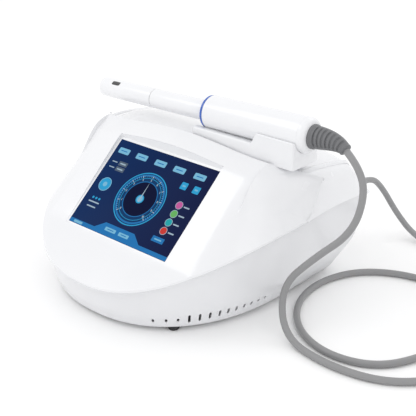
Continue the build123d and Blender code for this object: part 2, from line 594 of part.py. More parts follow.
def applicator_socket():
    socket = rod_y(SOCKET_R, SOCKET_X, SOCKET_Z, TRAY_BACK - 16, TRAY_BACK + 0.5)
    socket += rod_y(SOCKET_R + 2.0, SOCKET_X, SOCKET_Z, TRAY_BACK, TRAY_BACK + 1.5)
    socket += rod_y(8.5, SOCKET_X, SOCKET_Z, TRAY_BACK, SOCKET_FACE)
    socket -= rod_y(6.5, SOCKET_X, SOCKET_Z, TRAY_BACK - 8, SOCKET_FACE + 1)
    for i in range(6):
        turn = math.radians(60 * i)
        x, z = SOCKET_X + 4 * math.cos(turn), SOCKET_Z + 4 * math.sin(turn)
        socket += rod_y(0.7, x, z, TRAY_BACK - 9, SOCKET_FACE - 2)
    return socket.solid()


def cable_plug():
    return rod_y(PLUG_R, SOCKET_X, SOCKET_Z, PLUG_START, PLUG_END).solid()


def plug_grip():
    grip = rod_y(PLUG_R + 2, SOCKET_X, SOCKET_Z, PLUG_START + 2, PLUG_START + 14)
    grip -= rod_y(PLUG_R, SOCKET_X, SOCKET_Z, 100, 300)
    return grip.solid()


def plug_boot():
    y = (PLUG_END + BOOT_END) / 2
    boot = Location((SOCKET_X, y, SOCKET_Z), (-90, 0, 0)) * Cone(7.5, CABLE_D / 2 + 0.8, BOOT_END - PLUG_END)
    return boot.solid()


def rod(r, start, end):
    """Cylinder on the applicator's axis."""
    return AXIS * Pos(0, 0, (start + end) / 2) * Cylinder(r, end - start)


def cradle():
    """Low trough under the handle's front and a taller saddle at its cable end."""
    half = SLEEVE_R + CRADLE_SIDE
    front, step, rear = CRADLE_X
    low = block(front, step + 1, AXIS_Y - half, AXIS_Y + half, DECK_Z, DECK_Z + CRADLE_LOW)
    high = block(step, rear, AXIS_Y - half, AXIS_Y + half, DECK_Z, AXIS_Z)
    saddle = low + high
    saddle -= rod(SLEEVE_R + CRADLE_GAP, -60, 260)
    return saddle.solid()


def handle_sleeve():
    """The handle's tube, closed at its front round the shaft."""
    body = rod(SLEEVE_R, SLEEVE_START, CAP_START)
    body = chamfer(body.edges().sort_by(Axis.X)[0], 1.2)
    body -= rod(SLEEVE_BORE_R, SLEEVE_START + SLEEVE_FRONT_WALL, SLEEVE_END)
    body -= rod(SHAFT_R, SLEEVE_START - 1, SLEEVE_START + 6)
    return body.solid()


def handle_end_cap():
    cap = rod(SLEEVE_R, CAP_START, CAP_FACE)
    cap = fillet(cap.edges().sort_by(Axis.X)[-1], CAP_ROUND)
    cap -= rod(CAP_HOLE_R, CAP_START - 1, CAP_FACE + 1)
    return cap.solid()


def blue_ring():
    ring = rod(SLEEVE_R - RING_STEP, SLEEVE_START - RING_WIDTH, SLEEVE_START)
    return (ring - rod(SHAFT_R, SLEEVE_START - 9, SLEEVE_START + 9)).solid()


def shaft_tube():
    tube = rod(SHAFT_R, JOINT_X, SLEEVE_START + SHAFT_OVERLAP)
    return (tube - rod(SHAFT_BORE_R, JOINT_X - 1, SLEEVE_START + 20)).solid()


def cartridge_body():
    """Pull-off cartridge: rounded tip, window opening, and a spigot that fits the shaft's bore."""
    body = rod(SHAFT_R, SHAFT_END, JOINT_X - PARTING_GAP)
    body = fillet(body.edges().sort_by(Axis.X)[0], TIP_ROUND)
    body -= rod(SHAFT_BORE_R, SHAFT_END + TIP_WALL, JOINT_X - 6)
    body += rod(SHAFT_BORE_R - RUNNING_FIT, JOINT_X - 1, JOINT_X + SPIGOT_LENGTH)
    body -= seal_groove(SHAFT_BORE_R + 1)
    body -= rod(SCREW_THREAD_R + RUNNING_FIT, SCREW_START - END_FLOAT, JOINT_X + SPIGOT_LENGTH + 1)
    body -= window_prism()
    return body.solid()


def window_prism():
    """Upright rectangular prism through the cartridge's wall, turned to face forward of up."""
    face = AXIS * Location((0, 0, WINDOW_X), (0, 0, -WINDOW_TURN)) * Pos(SHAFT_R, 0, 0)
    return face * Box(8.0, WINDOW_WIDTH, WINDOW_LENGTH)


def acoustic_window():
    pane = rod(SHAFT_R - 0.4, WINDOW_X - 20, WINDOW_X + 20) - rod(SHAFT_BORE_R, WINDOW_X - 21, WINDOW_X + 21)
    return (pane & window_prism()).solid()


def seal_ring():
    return seal_groove(SHAFT_BORE_R - 0.04).solid()


def seal_groove(r):
    """Ring of outer radius r that fills the groove round the spigot."""
    ring = rod(r, GROOVE_X, GROOVE_X + GROOVE_WIDTH)
    return ring - rod(SHAFT_BORE_R - GROOVE_DEPTH, GROOVE_X - 1, GROOVE_X + GROOVE_WIDTH + 1)


def guide_screw():
    return rod(SCREW_THREAD_R, SCREW_START, JOINT_X + SPIGOT_LENGTH).solid()


def transducer_carriage():
    """Slider on the guide screw that carries the transducer behind the window."""
    body = rod(CARRIAGE_R, WINDOW_X - CARRIAGE_HALF, WINDOW_X + CARRIAGE_HALF)
    body -= rod(SCREW_THREAD_R + RUNNING_FIT, WINDOW_X - 20, WINDOW_X + 20)
    return (body - transducer_seat()).solid()


def transducer_seat():
    seat = AXIS * Location((0, 0, WINDOW_X), (0, 0, -WINDOW_TURN)) * Location((CARRIAGE_R - 2, 0, 0), (0, 90, 0))
    return seat * Cylinder(SEAT_R, SEAT_DEPTH)


def transducer():
    return (transducer_seat() & rod(CARRIAGE_R - 0.3, WINDOW_X - 20, WINDOW_X + 20)).solid()


def drive_motor():
    motor = rod(MOTOR_R, MOTOR_START, MOTOR_END)
    return (motor - rod(MOTOR_SHAFT_R + RUNNING_FIT, 0, MOTOR_SHAFT_END + END_FLOAT)).solid()


def motor_shaft():
    return rod(MOTOR_SHAFT_R, MOTOR_SHAFT_START, MOTOR_SHAFT_END).solid()


def motor_mount():
    disc = rod(SLEEVE_BORE_R, MOTOR_START - MOUNT_THICK, MOTOR_START) - rod(MOTOR_SHAFT_R + 0.6, 0, 200)
    return disc.solid()


def motor_coupling():
    """Sleeve that joins the drive rod's end to the motor's shaft."""
    sleeve = rod(COUPLING_R, COUPLING_START, COUPLING_END)
    sleeve -= rod(MOTOR_SHAFT_R, MOTOR_SHAFT_START, COUPLING_END + 1)
    return (sleeve - rod(DRIVE_ROD_R, 0, MOTOR_SHAFT_START + 0.5)).solid()


def drive_rod():
    return rod(DRIVE_ROD_R, JOINT_X + SPIGOT_LENGTH + 1, MOTOR_SHAFT_START).solid()


def handle_board():
    board = AXIS * Pos(-5, 0, MOTOR_END + 32) * Box(BOARD_THICK, 24, 44)
    board += AXIS * Pos(-3, 0, MOTOR_END + 28) * Box(3, 12, 14)
    return board.solid()


def strain_relief():
    """Tapered relief from the end cap to the hose, drooping with it."""
    start = AXIS * Pos(0, 0, CAP_FACE)
    root = start.position
    tip = Vector(*STRAIN_TIP)
    direction = tip - root
    taper = Plane(origin=root + direction * 0.5, z_dir=direction).location
    cone = taper * Cone(STRAIN_ROOT_R, STRAIN_TIP_R, direction.length)
    cone -= rod(60, -100, CAP_FACE)
    hose, towards = [Vector(*p) for p in CABLE_ROUTE[:2]]
    along = (towards - hose).normalized()
    beyond = Plane(origin=hose - along * CABLE_END_GAP, z_dir=along).location * Pos(0, 0, 20) * Box(60, 60, 40)
    return (cone - beyond).solid()


def cable():
    """Hose from the strain relief's tip to the plug's boot: straight runs and tangent arcs."""
    points = [Vector(*p) for p in CABLE_ROUTE]
    runs = [b - a for a, b in zip(points, points[1:])]
    radii = []
    for before, after in zip(runs, runs[1:]):
        half_turn = math.radians(before.get_angle(after)) / 2
        radii.append(0.45 * min(before.length, after.length) / math.tan(half_turn))
    print("cable radii", [round(r, 1) for r in radii])
    path = FilletPolyline(*points, radius=radii)
    print("cable length", round(path.length, 1))
    section = Plane(origin=path @ 0, z_dir=path % 0) * Circle(CABLE_D / 2)
    tube = sweep(section, path=path)
    print("cable volume over section times length",
          round(tube.volume / (math.pi * CABLE_D ** 2 / 4 * path.length), 4))
    return tube.solid()


def build():
    """Every node's solid, by name."""
    makers = [
        top_cover, base_tray, rubber_feet, case_screws, screen_bezel, touch_glass, lcd_panel,
        display_bracket, display_board, power_supply, generator_board, board_standoffs, heat_sink,
        rear_panel, power_inlet, fuse_drawer, power_switch_frame, power_rocker, fan_frame, fan_rotor,
        applicator_socket, cable_plug, plug_grip, plug_boot, cradle, handle_sleeve,
        handle_end_cap, blue_ring, shaft_tube, cartridge_body, acoustic_window, seal_ring,
        guide_screw, transducer_carriage, transducer, drive_motor, motor_shaft, motor_mount, motor_coupling,
        drive_rod, handle_board, strain_relief, cable,
    ]
    return {maker.__name__: maker() for maker in makers}


os.makedirs("parts", exist_ok=True)
for name, shape in build().items():
    export_step(shape, f"parts/{name}.step")
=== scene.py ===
import math
import bmesh
import bpy
import numpy as np
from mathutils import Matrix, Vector


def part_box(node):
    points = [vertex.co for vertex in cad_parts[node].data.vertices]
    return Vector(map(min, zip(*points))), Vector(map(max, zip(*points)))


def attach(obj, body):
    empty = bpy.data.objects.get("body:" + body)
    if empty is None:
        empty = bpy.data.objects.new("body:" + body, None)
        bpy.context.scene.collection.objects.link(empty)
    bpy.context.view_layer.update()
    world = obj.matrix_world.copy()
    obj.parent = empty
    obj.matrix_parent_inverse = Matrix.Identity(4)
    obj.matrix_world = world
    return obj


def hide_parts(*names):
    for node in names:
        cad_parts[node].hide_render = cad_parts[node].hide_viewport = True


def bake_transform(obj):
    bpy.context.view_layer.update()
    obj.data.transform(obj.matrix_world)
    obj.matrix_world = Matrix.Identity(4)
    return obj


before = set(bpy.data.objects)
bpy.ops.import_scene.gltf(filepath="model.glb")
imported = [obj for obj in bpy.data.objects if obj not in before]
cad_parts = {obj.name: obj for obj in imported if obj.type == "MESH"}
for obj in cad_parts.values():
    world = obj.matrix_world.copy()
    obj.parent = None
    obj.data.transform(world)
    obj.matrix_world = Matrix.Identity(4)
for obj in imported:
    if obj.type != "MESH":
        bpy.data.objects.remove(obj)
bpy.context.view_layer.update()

print("frame loaded:", len(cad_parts), "nodes")

# lengths in the dictionaries are millimetres, as in the CAD model; meshes are metres
mm = 0.001
deg = math.pi / 180


# ------ mesh helpers

def gridFaces(rows, cols, closeRows=False, closeCols=False):
    # every grid point makes one four-sided face with its next neighbour along both parameters
    r = np.arange(rows if closeRows else rows - 1)[:, None]
    c = np.arange(cols if closeCols else cols - 1)[None, :]
    a = r * cols + c
    b = r * cols + (c + 1) % cols
    d = ((r + 1) % rows) * cols + c
    e = ((r + 1) % rows) * cols + (c + 1) % cols
    return np.stack([a, b, e, d], -1).reshape(-1, 4)


def facingOut(mesh):
    # merges doubled points, then turns every face outwards
    work = bmesh.new()
    work.from_mesh(mesh)
    bmesh.ops.remove_doubles(work, verts=work.verts, dist=1e-6)
    bmesh.ops.recalc_face_normals(work, faces=work.faces)
    work.to_mesh(mesh)
    work.free()


def piece(name, points, faces, material, body, replaces=(), smoothAngle=38):
    # points is an (n, 3) array in millimetres; faces is a list or array of vertex numbers
    mesh = bpy.data.meshes.new(name)
    mesh.from_pydata((np.asarray(points) * mm).tolist(), [], [list(f) for f in faces])
    obj = bpy.data.objects.new(name, mesh)
    bpy.context.collection.objects.link(obj)
    facingOut(mesh)
    mesh.polygons.foreach_set("use_smooth", [True] * len(mesh.polygons))
    mesh.set_sharp_from_angle(angle=smoothAngle * deg)
    mesh.materials.append(material)
    if body:
        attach(obj, body)
    if replaces:
        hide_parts(*replaces)
    return obj


def applied(obj, smoothAngle=38):
    # the object's modifiers become its mesh
    bpy.context.view_layer.update()
    graph = bpy.context.evaluated_depsgraph_get()
    mesh = bpy.data.meshes.new_from_object(obj.evaluated_get(graph), depsgraph=graph)
    obj.modifiers.clear()
    obj.data = mesh
    mesh.polygons.foreach_set("use_smooth", [True] * len(mesh.polygons))
    mesh.set_sharp_from_angle(angle=smoothAngle * deg)
    return obj


def thicken(obj, wall, smoothAngle=38):
    # a wall of that many millimetres on the inner side of an open shell
    shell = obj.modifiers.new("wall", "SOLIDIFY")
    shell.thickness = wall * mm
    shell.offset = -1
    shell.use_even_offset = False
    applied(obj, smoothAngle)
    facingOut(obj.data)
    return obj


def cutAway(obj, points, faces, smoothAngle=38):
    # obj loses the space of the closed cutter
    mesh = bpy.data.meshes.new("cutter")
    mesh.from_pydata((np.asarray(points) * mm).tolist(), [], [list(f) for f in faces])
    facingOut(mesh)
    cutter = bpy.data.objects.new("cutter", mesh)
    bpy.context.collection.objects.link(cutter)
    cut = obj.modifiers.new("cut", "BOOLEAN")
    cut.operation = "DIFFERENCE"
    cut.solver = "EXACT"
    cut.object = cutter
    applied(obj, smoothAngle)
    bpy.data.objects.remove(cutter)
    return obj


def openWindow(obj, low, high, axes):
    # cuts the surface along the sides of a box and takes out the faces whose middles lie inside it
    work = bmesh.new()
    work.from_mesh(obj.data)
    for axis in axes:
        for corner in (low, high):
            normal = [0, 0, 0]
            normal[axis] = 1
            bmesh.ops.bisect_plane(work, geom=work.verts[:] + work.edges[:] + work.faces[:], dist=1e-7,
                                   plane_co=[c * mm for c in corner], plane_no=normal)
    inside = [f for f in work.faces
              if all(low[i] * mm < f.calc_center_median()[i] < high[i] * mm for i in range(3))]
    bmesh.ops.delete(work, geom=inside, context="FACES")
    work.to_mesh(obj.data)
    work.free()
    return obj


def roundCorner(before, corner, after, radius, steps=7):
    # quadratic curve that cuts a profile's corner at that distance on each side
    before, corner, after = [np.array(p, float) for p in (before, corner, after)]
    a = corner + (before - corner) / np.linalg.norm(before - corner) * radius
    b = corner + (after - corner) / np.linalg.norm(after - corner) * radius
    t = np.linspace(0, 1, steps)[:, None]
    return (a * (1 - t) ** 2 + 2 * t * (1 - t) * corner + b * t ** 2).tolist()


def rounded(corners, radii):
    # a closed profile through the corners, each cut by its own radius
    line = []
    for k, (corner, radius) in enumerate(zip(corners, radii)):
        if radius:
            line += roundCorner(corners[k - 1], corner, corners[(k + 1) % len(corners)], radius)
        else:
            line.append(list(corner))
    return line


def softMax(a, b, k):
    # the larger of the two, with the corner between them rounded over about k
    return 0.5 * (a + b + np.sqrt((a - b) ** 2 + k * k))


def softMin(a, b, k):
    return -softMax(-a, -b, k)


def ease(t):
    # 0 to 1 with level ends: 3t^2 - 2t^3
    t = np.clip(t, 0, 1)
    return t * t * (3 - 2 * t)


# ------ materials

def shader(name):
    material = bpy.data.materials.new(name)
    material.use_nodes = True
    nodes, links = material.node_tree.nodes, material.node_tree.links
    return material, nodes, links, nodes["Principled BSDF"]


def moulded(name, colour, roughness, coat=0.0, grain=900.0, bump=0.02, mottling=0.02, metallic=0.0):
    # plastic, rubber or metal whose colour and roughness drift a little, with a fine grain in the surface
    material, nodes, links, skin = shader(name)
    place = nodes.new("ShaderNodeTexCoord")
    drift = nodes.new("ShaderNodeTexNoise")
    drift.inputs["Scale"].default_value = 22.0
    drift.inputs["Detail"].default_value = 3.0
    links.new(place.outputs["Object"], drift.inputs["Vector"])
    tones = nodes.new("ShaderNodeMix")
    tones.data_type = "RGBA"
    tones.inputs["A"].default_value = (*[c * (1 - mottling) for c in colour], 1)
    tones.inputs["B"].default_value = (*[min(1, c * (1 + mottling)) for c in colour], 1)
    links.new(drift.outputs["Fac"], tones.inputs["Factor"])
    links.new(tones.outputs["Result"], skin.inputs["Base Color"])
    gloss = nodes.new("ShaderNodeMapRange")
    gloss.inputs["To Min"].default_value = roughness * 0.88
    gloss.inputs["To Max"].default_value = roughness * 1.12
    links.new(drift.outputs["Fac"], gloss.inputs["Value"])
    links.new(gloss.outputs["Result"], skin.inputs["Roughness"])
    grainNoise = nodes.new("ShaderNodeTexNoise")
    grainNoise.inputs["Scale"].default_value = grain
    grainNoise.inputs["Detail"].default_value = 2.0
    links.new(place.outputs["Object"], grainNoise.inputs["Vector"])
    relief = nodes.new("ShaderNodeBump")
    relief.inputs["Strength"].default_value = bump
    relief.inputs["Distance"].default_value = 0.0004
    links.new(grainNoise.outputs["Fac"], relief.inputs["Height"])
    links.new(relief.outputs["Normal"], skin.inputs["Normal"])
    skin.inputs["Metallic"].default_value = metallic
    skin.inputs["Coat Weight"].default_value = coat
    skin.inputs["Coat Roughness"].default_value = 0.06
    return material


def lit(name, colour, strength):
    # a lit patch of the display under the glass: its light varies very slightly across the panel
    material, nodes, links, skin = shader(name)
    place = nodes.new("ShaderNodeTexCoord")
    drift = nodes.new("ShaderNodeTexNoise")
    drift.inputs["Scale"].default_value = 40.0
    links.new(place.outputs["Object"], drift.inputs["Vector"])
    tones = nodes.new("ShaderNodeMix")
    tones.data_type = "RGBA"
    tones.inputs["A"].default_value = (*[c * 0.92 for c in colour], 1)
    tones.inputs["B"].default_value = (*[min(1, c * 1.06) for c in colour], 1)
    links.new(drift.outputs["Fac"], tones.inputs["Factor"])
    links.new(tones.outputs["Result"], skin.inputs["Emission Color"])
    skin.inputs["Base Color"].default_value = (*[c * 0.04 for c in colour], 1)
    skin.inputs["Emission Strength"].default_value = strength
    skin.inputs["Roughness"].default_value = 0.3
    skin.inputs["Specular IOR Level"].default_value = 0.03
    return material


materials = {
    "glossWhite": moulded("glossWhite", (0.80, 0.805, 0.825), 0.26, coat=0.5, grain=500, bump=0.015),
    "trayWhite": moulded("trayWhite", (0.76, 0.765, 0.785), 0.33, coat=0.3, grain=700, bump=0.02),
    "applicatorWhite": moulded("applicatorWhite", (0.82, 0.825, 0.845), 0.24, coat=0.45, grain=600, bump=0.012),
    "footRubber": moulded("footRubber", (0.025, 0.025, 0.028), 0.7, grain=1400, bump=0.15),
    "reliefRubber": moulded("reliefRubber", (0.15, 0.152, 0.16), 0.52, grain=1500, bump=0.1, mottling=0.05),
    "hoseRubber": moulded("hoseRubber", (0.27, 0.27, 0.275), 0.42, grain=1200, bump=0.05, mottling=0.04),
    "ringBlue": moulded("ringBlue", (0.02, 0.10, 0.45), 0.25, coat=0.5, grain=600, bump=0.01),
    "windowBlackAndGapShade": moulded("windowBlackAndGapShade", (0.008, 0.008, 0.01), 0.12, coat=0.8, grain=300, bump=0.004),
    "blackPlastic": moulded("blackPlastic", (0.02, 0.02, 0.022), 0.45, grain=1300, bump=0.1),
    "rockerBlack": moulded("rockerBlack", (0.012, 0.012, 0.014), 0.2, coat=0.4, grain=500, bump=0.01),
    "rearPlate": moulded("rearPlate", (0.62, 0.625, 0.64), 0.5, grain=1600, bump=0.12),
    "steel": moulded("steel", (0.56, 0.56, 0.58), 0.32, metallic=1.0, grain=2400, bump=0.06),
    "aluminium": moulded("aluminium", (0.66, 0.67, 0.69), 0.4, metallic=1.0, grain=2000, bump=0.08),
    "brass": moulded("brass", (0.72, 0.52, 0.22), 0.3, metallic=1.0, grain=1800, bump=0.05),
    "motorBlack": moulded("motorBlack", (0.04, 0.04, 0.045), 0.45, metallic=0.3, grain=1200, bump=0.08),
    "boardGreen": moulded("boardGreen", (0.02, 0.16, 0.06), 0.38, coat=0.3, grain=260, bump=0.25,
                          mottling=0.25),
}
print("materials made")

# ------ the housing's shared lines

housing = {
    "halfWidth": 177.0, "front": -164.0, "rear": 164.0, "noseCentre": 83.0, "nosePower": 2.3,
    "rimStep": 2.5, "wall": 2.6, "cornerRadius": 12.0,
    "seamFront": (-161.0, 50.0), "seamMiddle": (29.0, 111.0), "seamRear": (164.0, 105.0),
}
screen = {"tilt": 40.7, "y": -61.0, "z": 120.0, "width": 162.0, "height": 121.5, "rim": 3.0, "corner": 2.0}
face = {
    "crown": 11.5, "crownMean": 0.65, "crownSwing": 0.35, "crownLeast": 0.04, "crestSlope": 0.45,
    "noseLift": 0.0051, "shoulder": 116.0, "shoulderLeast": 12.0, "shoulderPower": 1.5,
    "bendRound": 3.0, "rimRound": 1.5, "crestY": 11.0, "crestEnd": 130.0, "crestZ": 175.0,
    "earBlend": 38.0, "earX": 176.35, "earY": 52.0, "earZ": 158.0, "creaseY": 30.0,
}


def seamHeight(y):
    # the seam lies on the circle through its three (y, z) points, at z = zc + sqrt(r^2 - (y - yc)^2)
    (y1, z1), (y2, z2), (y3, z3) = housing["seamFront"], housing["seamMiddle"], housing["seamRear"]
    d = 2 * (y1 * (z2 - z3) + y2 * (z3 - z1) + y3 * (z1 - z2))
    s1, s2, s3 = y1 * y1 + z1 * z1, y2 * y2 + z2 * z2, y3 * y3 + z3 * z3
    yc = (s1 * (z2 - z3) + s2 * (z3 - z1) + s3 * (z1 - z2)) / d
    zc = (s1 * (y3 - y2) + s2 * (y1 - y3) + s3 * (y2 - y1)) / d
    return zc + np.sqrt((y1 - yc) ** 2 + (z1 - zc) ** 2 - (y - yc) ** 2)


def noseWidth(y, half, front, centre):
    # half width of a plan outline: half * (1 - t^p)^(1/p) with t = (centre - y) / (centre - front)
    p = housing["nosePower"]
    t = np.clip((centre - y) / (centre - front), 0, 1)
    return half * (1 - t ** p) ** (1 / p)


def noseFront(x, half, front, centre):
    # the same outline read the other way: y at a given x
    p = housing["nosePower"]
    t = np.clip(np.abs(x) / half, 0, 1)
    return centre - (centre - front) * (1 - t ** p) ** (1 / p)


def faceHeight(x, y):
    # the sloped face: the screen's plane, plus a crown that grows towards the crest and falls at the
    # shoulders, then a power curve from the shoulder down to the rim, never below the rim;
    # near the crest and the ears it is blended into the straight ridge between them
    v = y - screen["y"]
    half = screen["height"] / 2 * math.cos(screen["tilt"] * deg)
    climb = softMin(v, half, face["bendRound"])
    share = np.clip((climb + half) / (2 * half), face["crownLeast"], 1)
    side = face["crownMean"] + face["crownSwing"] * np.cos(np.pi * np.minimum(np.abs(x) / face["crestEnd"], 1))
    top = screen["z"] + math.tan(screen["tilt"] * deg) * climb + face["crown"] * share * side
    top = top + face["crestSlope"] * softMax(v - half, 0, face["bendRound"])
    top = top + face["noseLift"] * np.maximum(-half - v, 0) ** 2
    top = softMax(top, seamHeight(y) + housing["rimStep"], face["rimRound"])
    wide = noseWidth(y, housing["halfWidth"], housing["front"], housing["noseCentre"])
    edge = np.maximum(wide, face["shoulder"] + face["shoulderLeast"])
    rim = seamHeight(np.minimum(y, face["creaseY"])) + housing["rimStep"]
    share = np.clip((np.abs(x) - face["shoulder"]) / (edge - face["shoulder"]), 0, 1.0)
    fallen = top + np.minimum(rim - top, 0) * share ** face["shoulderPower"]
    along = np.clip((np.abs(x) - face["crestEnd"]) / (face["earX"] - face["crestEnd"]), 0, 1)
    ridge = np.where(along > 0, face["crestZ"] + (face["earZ"] - face["crestZ"]) * along, top)
    ridgeY = face["crestY"] + (face["earY"] - face["crestY"]) * along
    reach = face["earY"] - face["creaseY"] + face["earBlend"] * (1 - along)
    return fallen + (ridge - fallen) * ease(1 + (y - ridgeY) / reach)


def screenHalves():
    # half the width and half the depth of the screen's footprint, seen from above
    halfX = screen["width"] / 2 + screen["rim"]
    halfY = (screen["height"] / 2 + screen["rim"]) * math.cos(screen["tilt"] * deg)
    return halfX, halfY


def faceShell():
    # columns across x, rows from the rim to the crest: y = front(x) + v * (crest(x) - front(x));
    # the first rows drop to the seam as a lip, the last ones turn down behind the crest
    u = np.linspace(-1, 1, 241)
    x = face["earX"] * np.sign(u) * (1 - (1 - np.abs(u)) ** 1.35)
    yFront = noseFront(x, housing["halfWidth"], housing["front"], housing["noseCentre"])
    out = np.clip((np.abs(x) - face["crestEnd"]) / (face["earX"] - face["crestEnd"]), 0, 1)
    yBack = face["crestY"] + (face["earY"] - face["crestY"]) * out
    yBack = np.maximum(yBack, yFront + 0.02)
    v = np.linspace(0, 1, 121) ** 1.25
    y = yFront[None, :] + v[:, None] * (yBack - yFront)[None, :]
    xs = np.broadcast_to(x[None, :], y.shape)
    z = faceHeight(xs, y)
    edgeZ = z[0]
    lip = [np.stack([x, yFront, edgeZ - d], -1) for d in (housing["rimStep"] + 1.0, housing["rimStep"], 0.9)]
    lip[0] = lip[0] + np.stack([-x * 0.006, 0 * x + 1.0, 0 * x], -1)
    inward = 1 - 0.035 * out
    ear = ease(out * 5)
    tail = [np.stack([x, yBack + 0.6, z[-1] - 0.5], -1),
            np.stack([x * (1 - 0.004 * out), yBack + 0.9, z[-1] - 1.6], -1),
            np.stack([x * inward, yBack + 0.8 - 4.5 * ear, np.where(out > 0, z[-1] - 12, 170.0)], -1)]
    rows = np.concatenate([np.stack(lip), np.stack([xs, y, z], -1), np.stack(tail)])
    obj = piece("sloped_face", rows.reshape(-1, 3), gridFaces(len(rows), len(u)),
                materials["glossWhite"], "console")
    halfX, halfY = screenHalves()
    openWindow(obj, (-halfX, screen["y"] - halfY, 0), (halfX, screen["y"] + halfY, 400), (0, 1))
    thicken(obj, housing["wall"])
    return obj


def screenRectangle():
    # rounded rectangle over the screen's plan footprint: four quarter circles, counted round
    halfX, halfY = screenHalves()
    corner = screen["corner"]
    turn = np.linspace(0, math.pi / 2, 5)
    corners = []
    for k, (sx, sy) in enumerate(((1, 1), (-1, 1), (-1, -1), (1, -1))):
        a = turn + k * math.pi / 2
        x = sx * (halfX - corner) + corner * np.cos(a)
        y = sy * (halfY - corner) + corner * np.sin(a)
        corners.append(np.stack([x, y], -1))
    return np.concatenate(corners)


def screenPocket():
    # ribbon walls round the window, from the sloped face down to just under the glass
    outline = screenRectangle()
    dense = []
    for a, b in zip(outline, np.roll(outline, -1, axis=0)):
        count = max(1, int(np.linalg.norm(b - a) // 4))
        dense.append(a + (b - a) * np.linspace(0, 1, count, endpoint=False)[:, None])
    ring = np.concatenate(dense)
    x, y = ring[:, 0], ring[:, 1] + screen["y"]
    plane = screen["z"] + (y - screen["y"]) * math.tan(screen["tilt"] * deg)
    top = np.maximum(faceHeight(x, y) - 0.25, plane + 0.1)
    centre = np.array([0, screen["y"]])
    away = np.stack([x, y], -1) - centre
    away = away / np.linalg.norm(away, axis=1, keepdims=True)
    rows = [np.column_stack([x, y, top]), np.column_stack([x, y, plane - 1.5]),
            np.column_stack([x + away[:, 0] * 1.6, y + away[:, 1] * 1.6, plane - 1.5]),
            np.column_stack([x + away[:, 0] * 1.6, y + away[:, 1] * 1.6, top - 0.9])]
    return piece("screen_pocket", np.concatenate(rows), gridFaces(4, len(ring), True, True),
                 materials["glossWhite"], "console")


deck = {"frontY": 9.0, "level": 173.4, "bendY": 60.0, "edgeY": 129.0, "edgeZ": 161.0, "top": (124.0, 174.4),
        "flankLow": (175.0, 106.0), "flankHigh": (164.0, 156.0), "rounds": (0, 13, 34, 0, 0), "samples": 150,
        "crestEnd": (130.0, 11.0, 175.0), "crease": (173.0, 30.0, 112.0), "earTip": (177.0, 52.0, 158.0)}


def deckShell():
    # half a cross-section (x, z) is rounded and mirrored, and stretched between the seam and the deck's
    # height t(y), the lowest of three lines: level, falling, steep rear face. Each row starts on the ears'
    # sloping rear plane, y = y0 + a (x - x0) + b (z - z0), and a quarter circle tucks in the plan's corners
    corners = [deck["flankLow"], deck["flankHigh"], deck["top"], (0, deck["top"][1]), (0, deck["flankLow"][1])]
    outline = np.array(rounded(corners, deck["rounds"])[:-1])
    along = np.concatenate([[0], np.cumsum(np.linalg.norm(np.diff(outline, axis=0), axis=1))])
    at = np.linspace(0, along[-1], deck["samples"])
    half = np.stack([np.interp(at, along, outline[:, k]) for k in (0, 1)], -1)
    section = np.concatenate([half, half[-2::-1] * (-1, 1)])
    x0, y0, z0 = deck["crestEnd"]
    ends = np.array([deck["earTip"], deck["crease"]]) - (x0, y0, z0)
    slopeX, slopeZ = np.linalg.solve(ends[:, (0, 2)], ends[:, 1])
    x, z = np.abs(section[:, 0]), section[:, 1]
    start = np.maximum(y0 + slopeX * (x - x0) + slopeZ * (z - z0), y0) + deck["frontY"] - y0
    share = np.concatenate([np.linspace(0, 0.72, 44), np.linspace(0.725, 1, 76)])
    y = start[:, None] + share[None] * (housing["rear"] - 0.2 - start[:, None])
    fall = (deck["edgeZ"] - deck["level"]) / (deck["edgeY"] - deck["bendY"])
    falling = deck["level"] + (y - deck["bendY"]) * fall
    steep = (deck["flankLow"][1] - deck["edgeZ"]) / (housing["rear"] - deck["edgeY"])
    rear = deck["edgeZ"] + (y - deck["edgeY"]) * steep
    top = softMin(softMin(deck["level"] + 0 * y, falling, 2.0), rear, 7.0)
    seam = seamHeight(y)
    corner = housing["cornerRadius"]
    back = np.clip(y - (housing["rear"] - corner), 0, corner - 0.01)
    tuck = (corner - np.sqrt(corner ** 2 - back ** 2)) * x[:, None] / deck["flankLow"][0]
    height = seam + (z[:, None] - deck["flankLow"][1]) / (deck["top"][1] - deck["flankLow"][1]) * (top - seam)
    surface = np.stack([np.sign(section[:, :1]) * (x[:, None] - tuck), y, height], -1)
    obj = piece("rear_deck", surface.reshape(-1, 3), gridFaces(len(section), len(share)),
                materials["glossWhite"], "console")
    thicken(obj, housing["wall"])
    return obj


coverFace = faceShell()
coverDeck = deckShell()
pocket = screenPocket()
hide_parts("top_cover")
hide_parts("top_cover")
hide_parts("top_cover")
print("cover made")

# ------ lower housing

tray = {
    "seam": (171.0, -158.0, 83.0, 160.0), "knuckle": (161.0, -154.0, 70.0, 160.0),
    "under": (143.0, -148.0, 32.0, 134.0), "kneeZ": (20.0, 46.0), "floor": 5.0,
    "cornerRadius": 14.0, "gap": 0.9, "bendFrom": 0.86, "bendTo": 0.22, "floorRound": 0.025,
    "ventCount": 13, "ventFrom": -128.0, "ventPitch": 9.6, "ventWidth": 3.0,
}


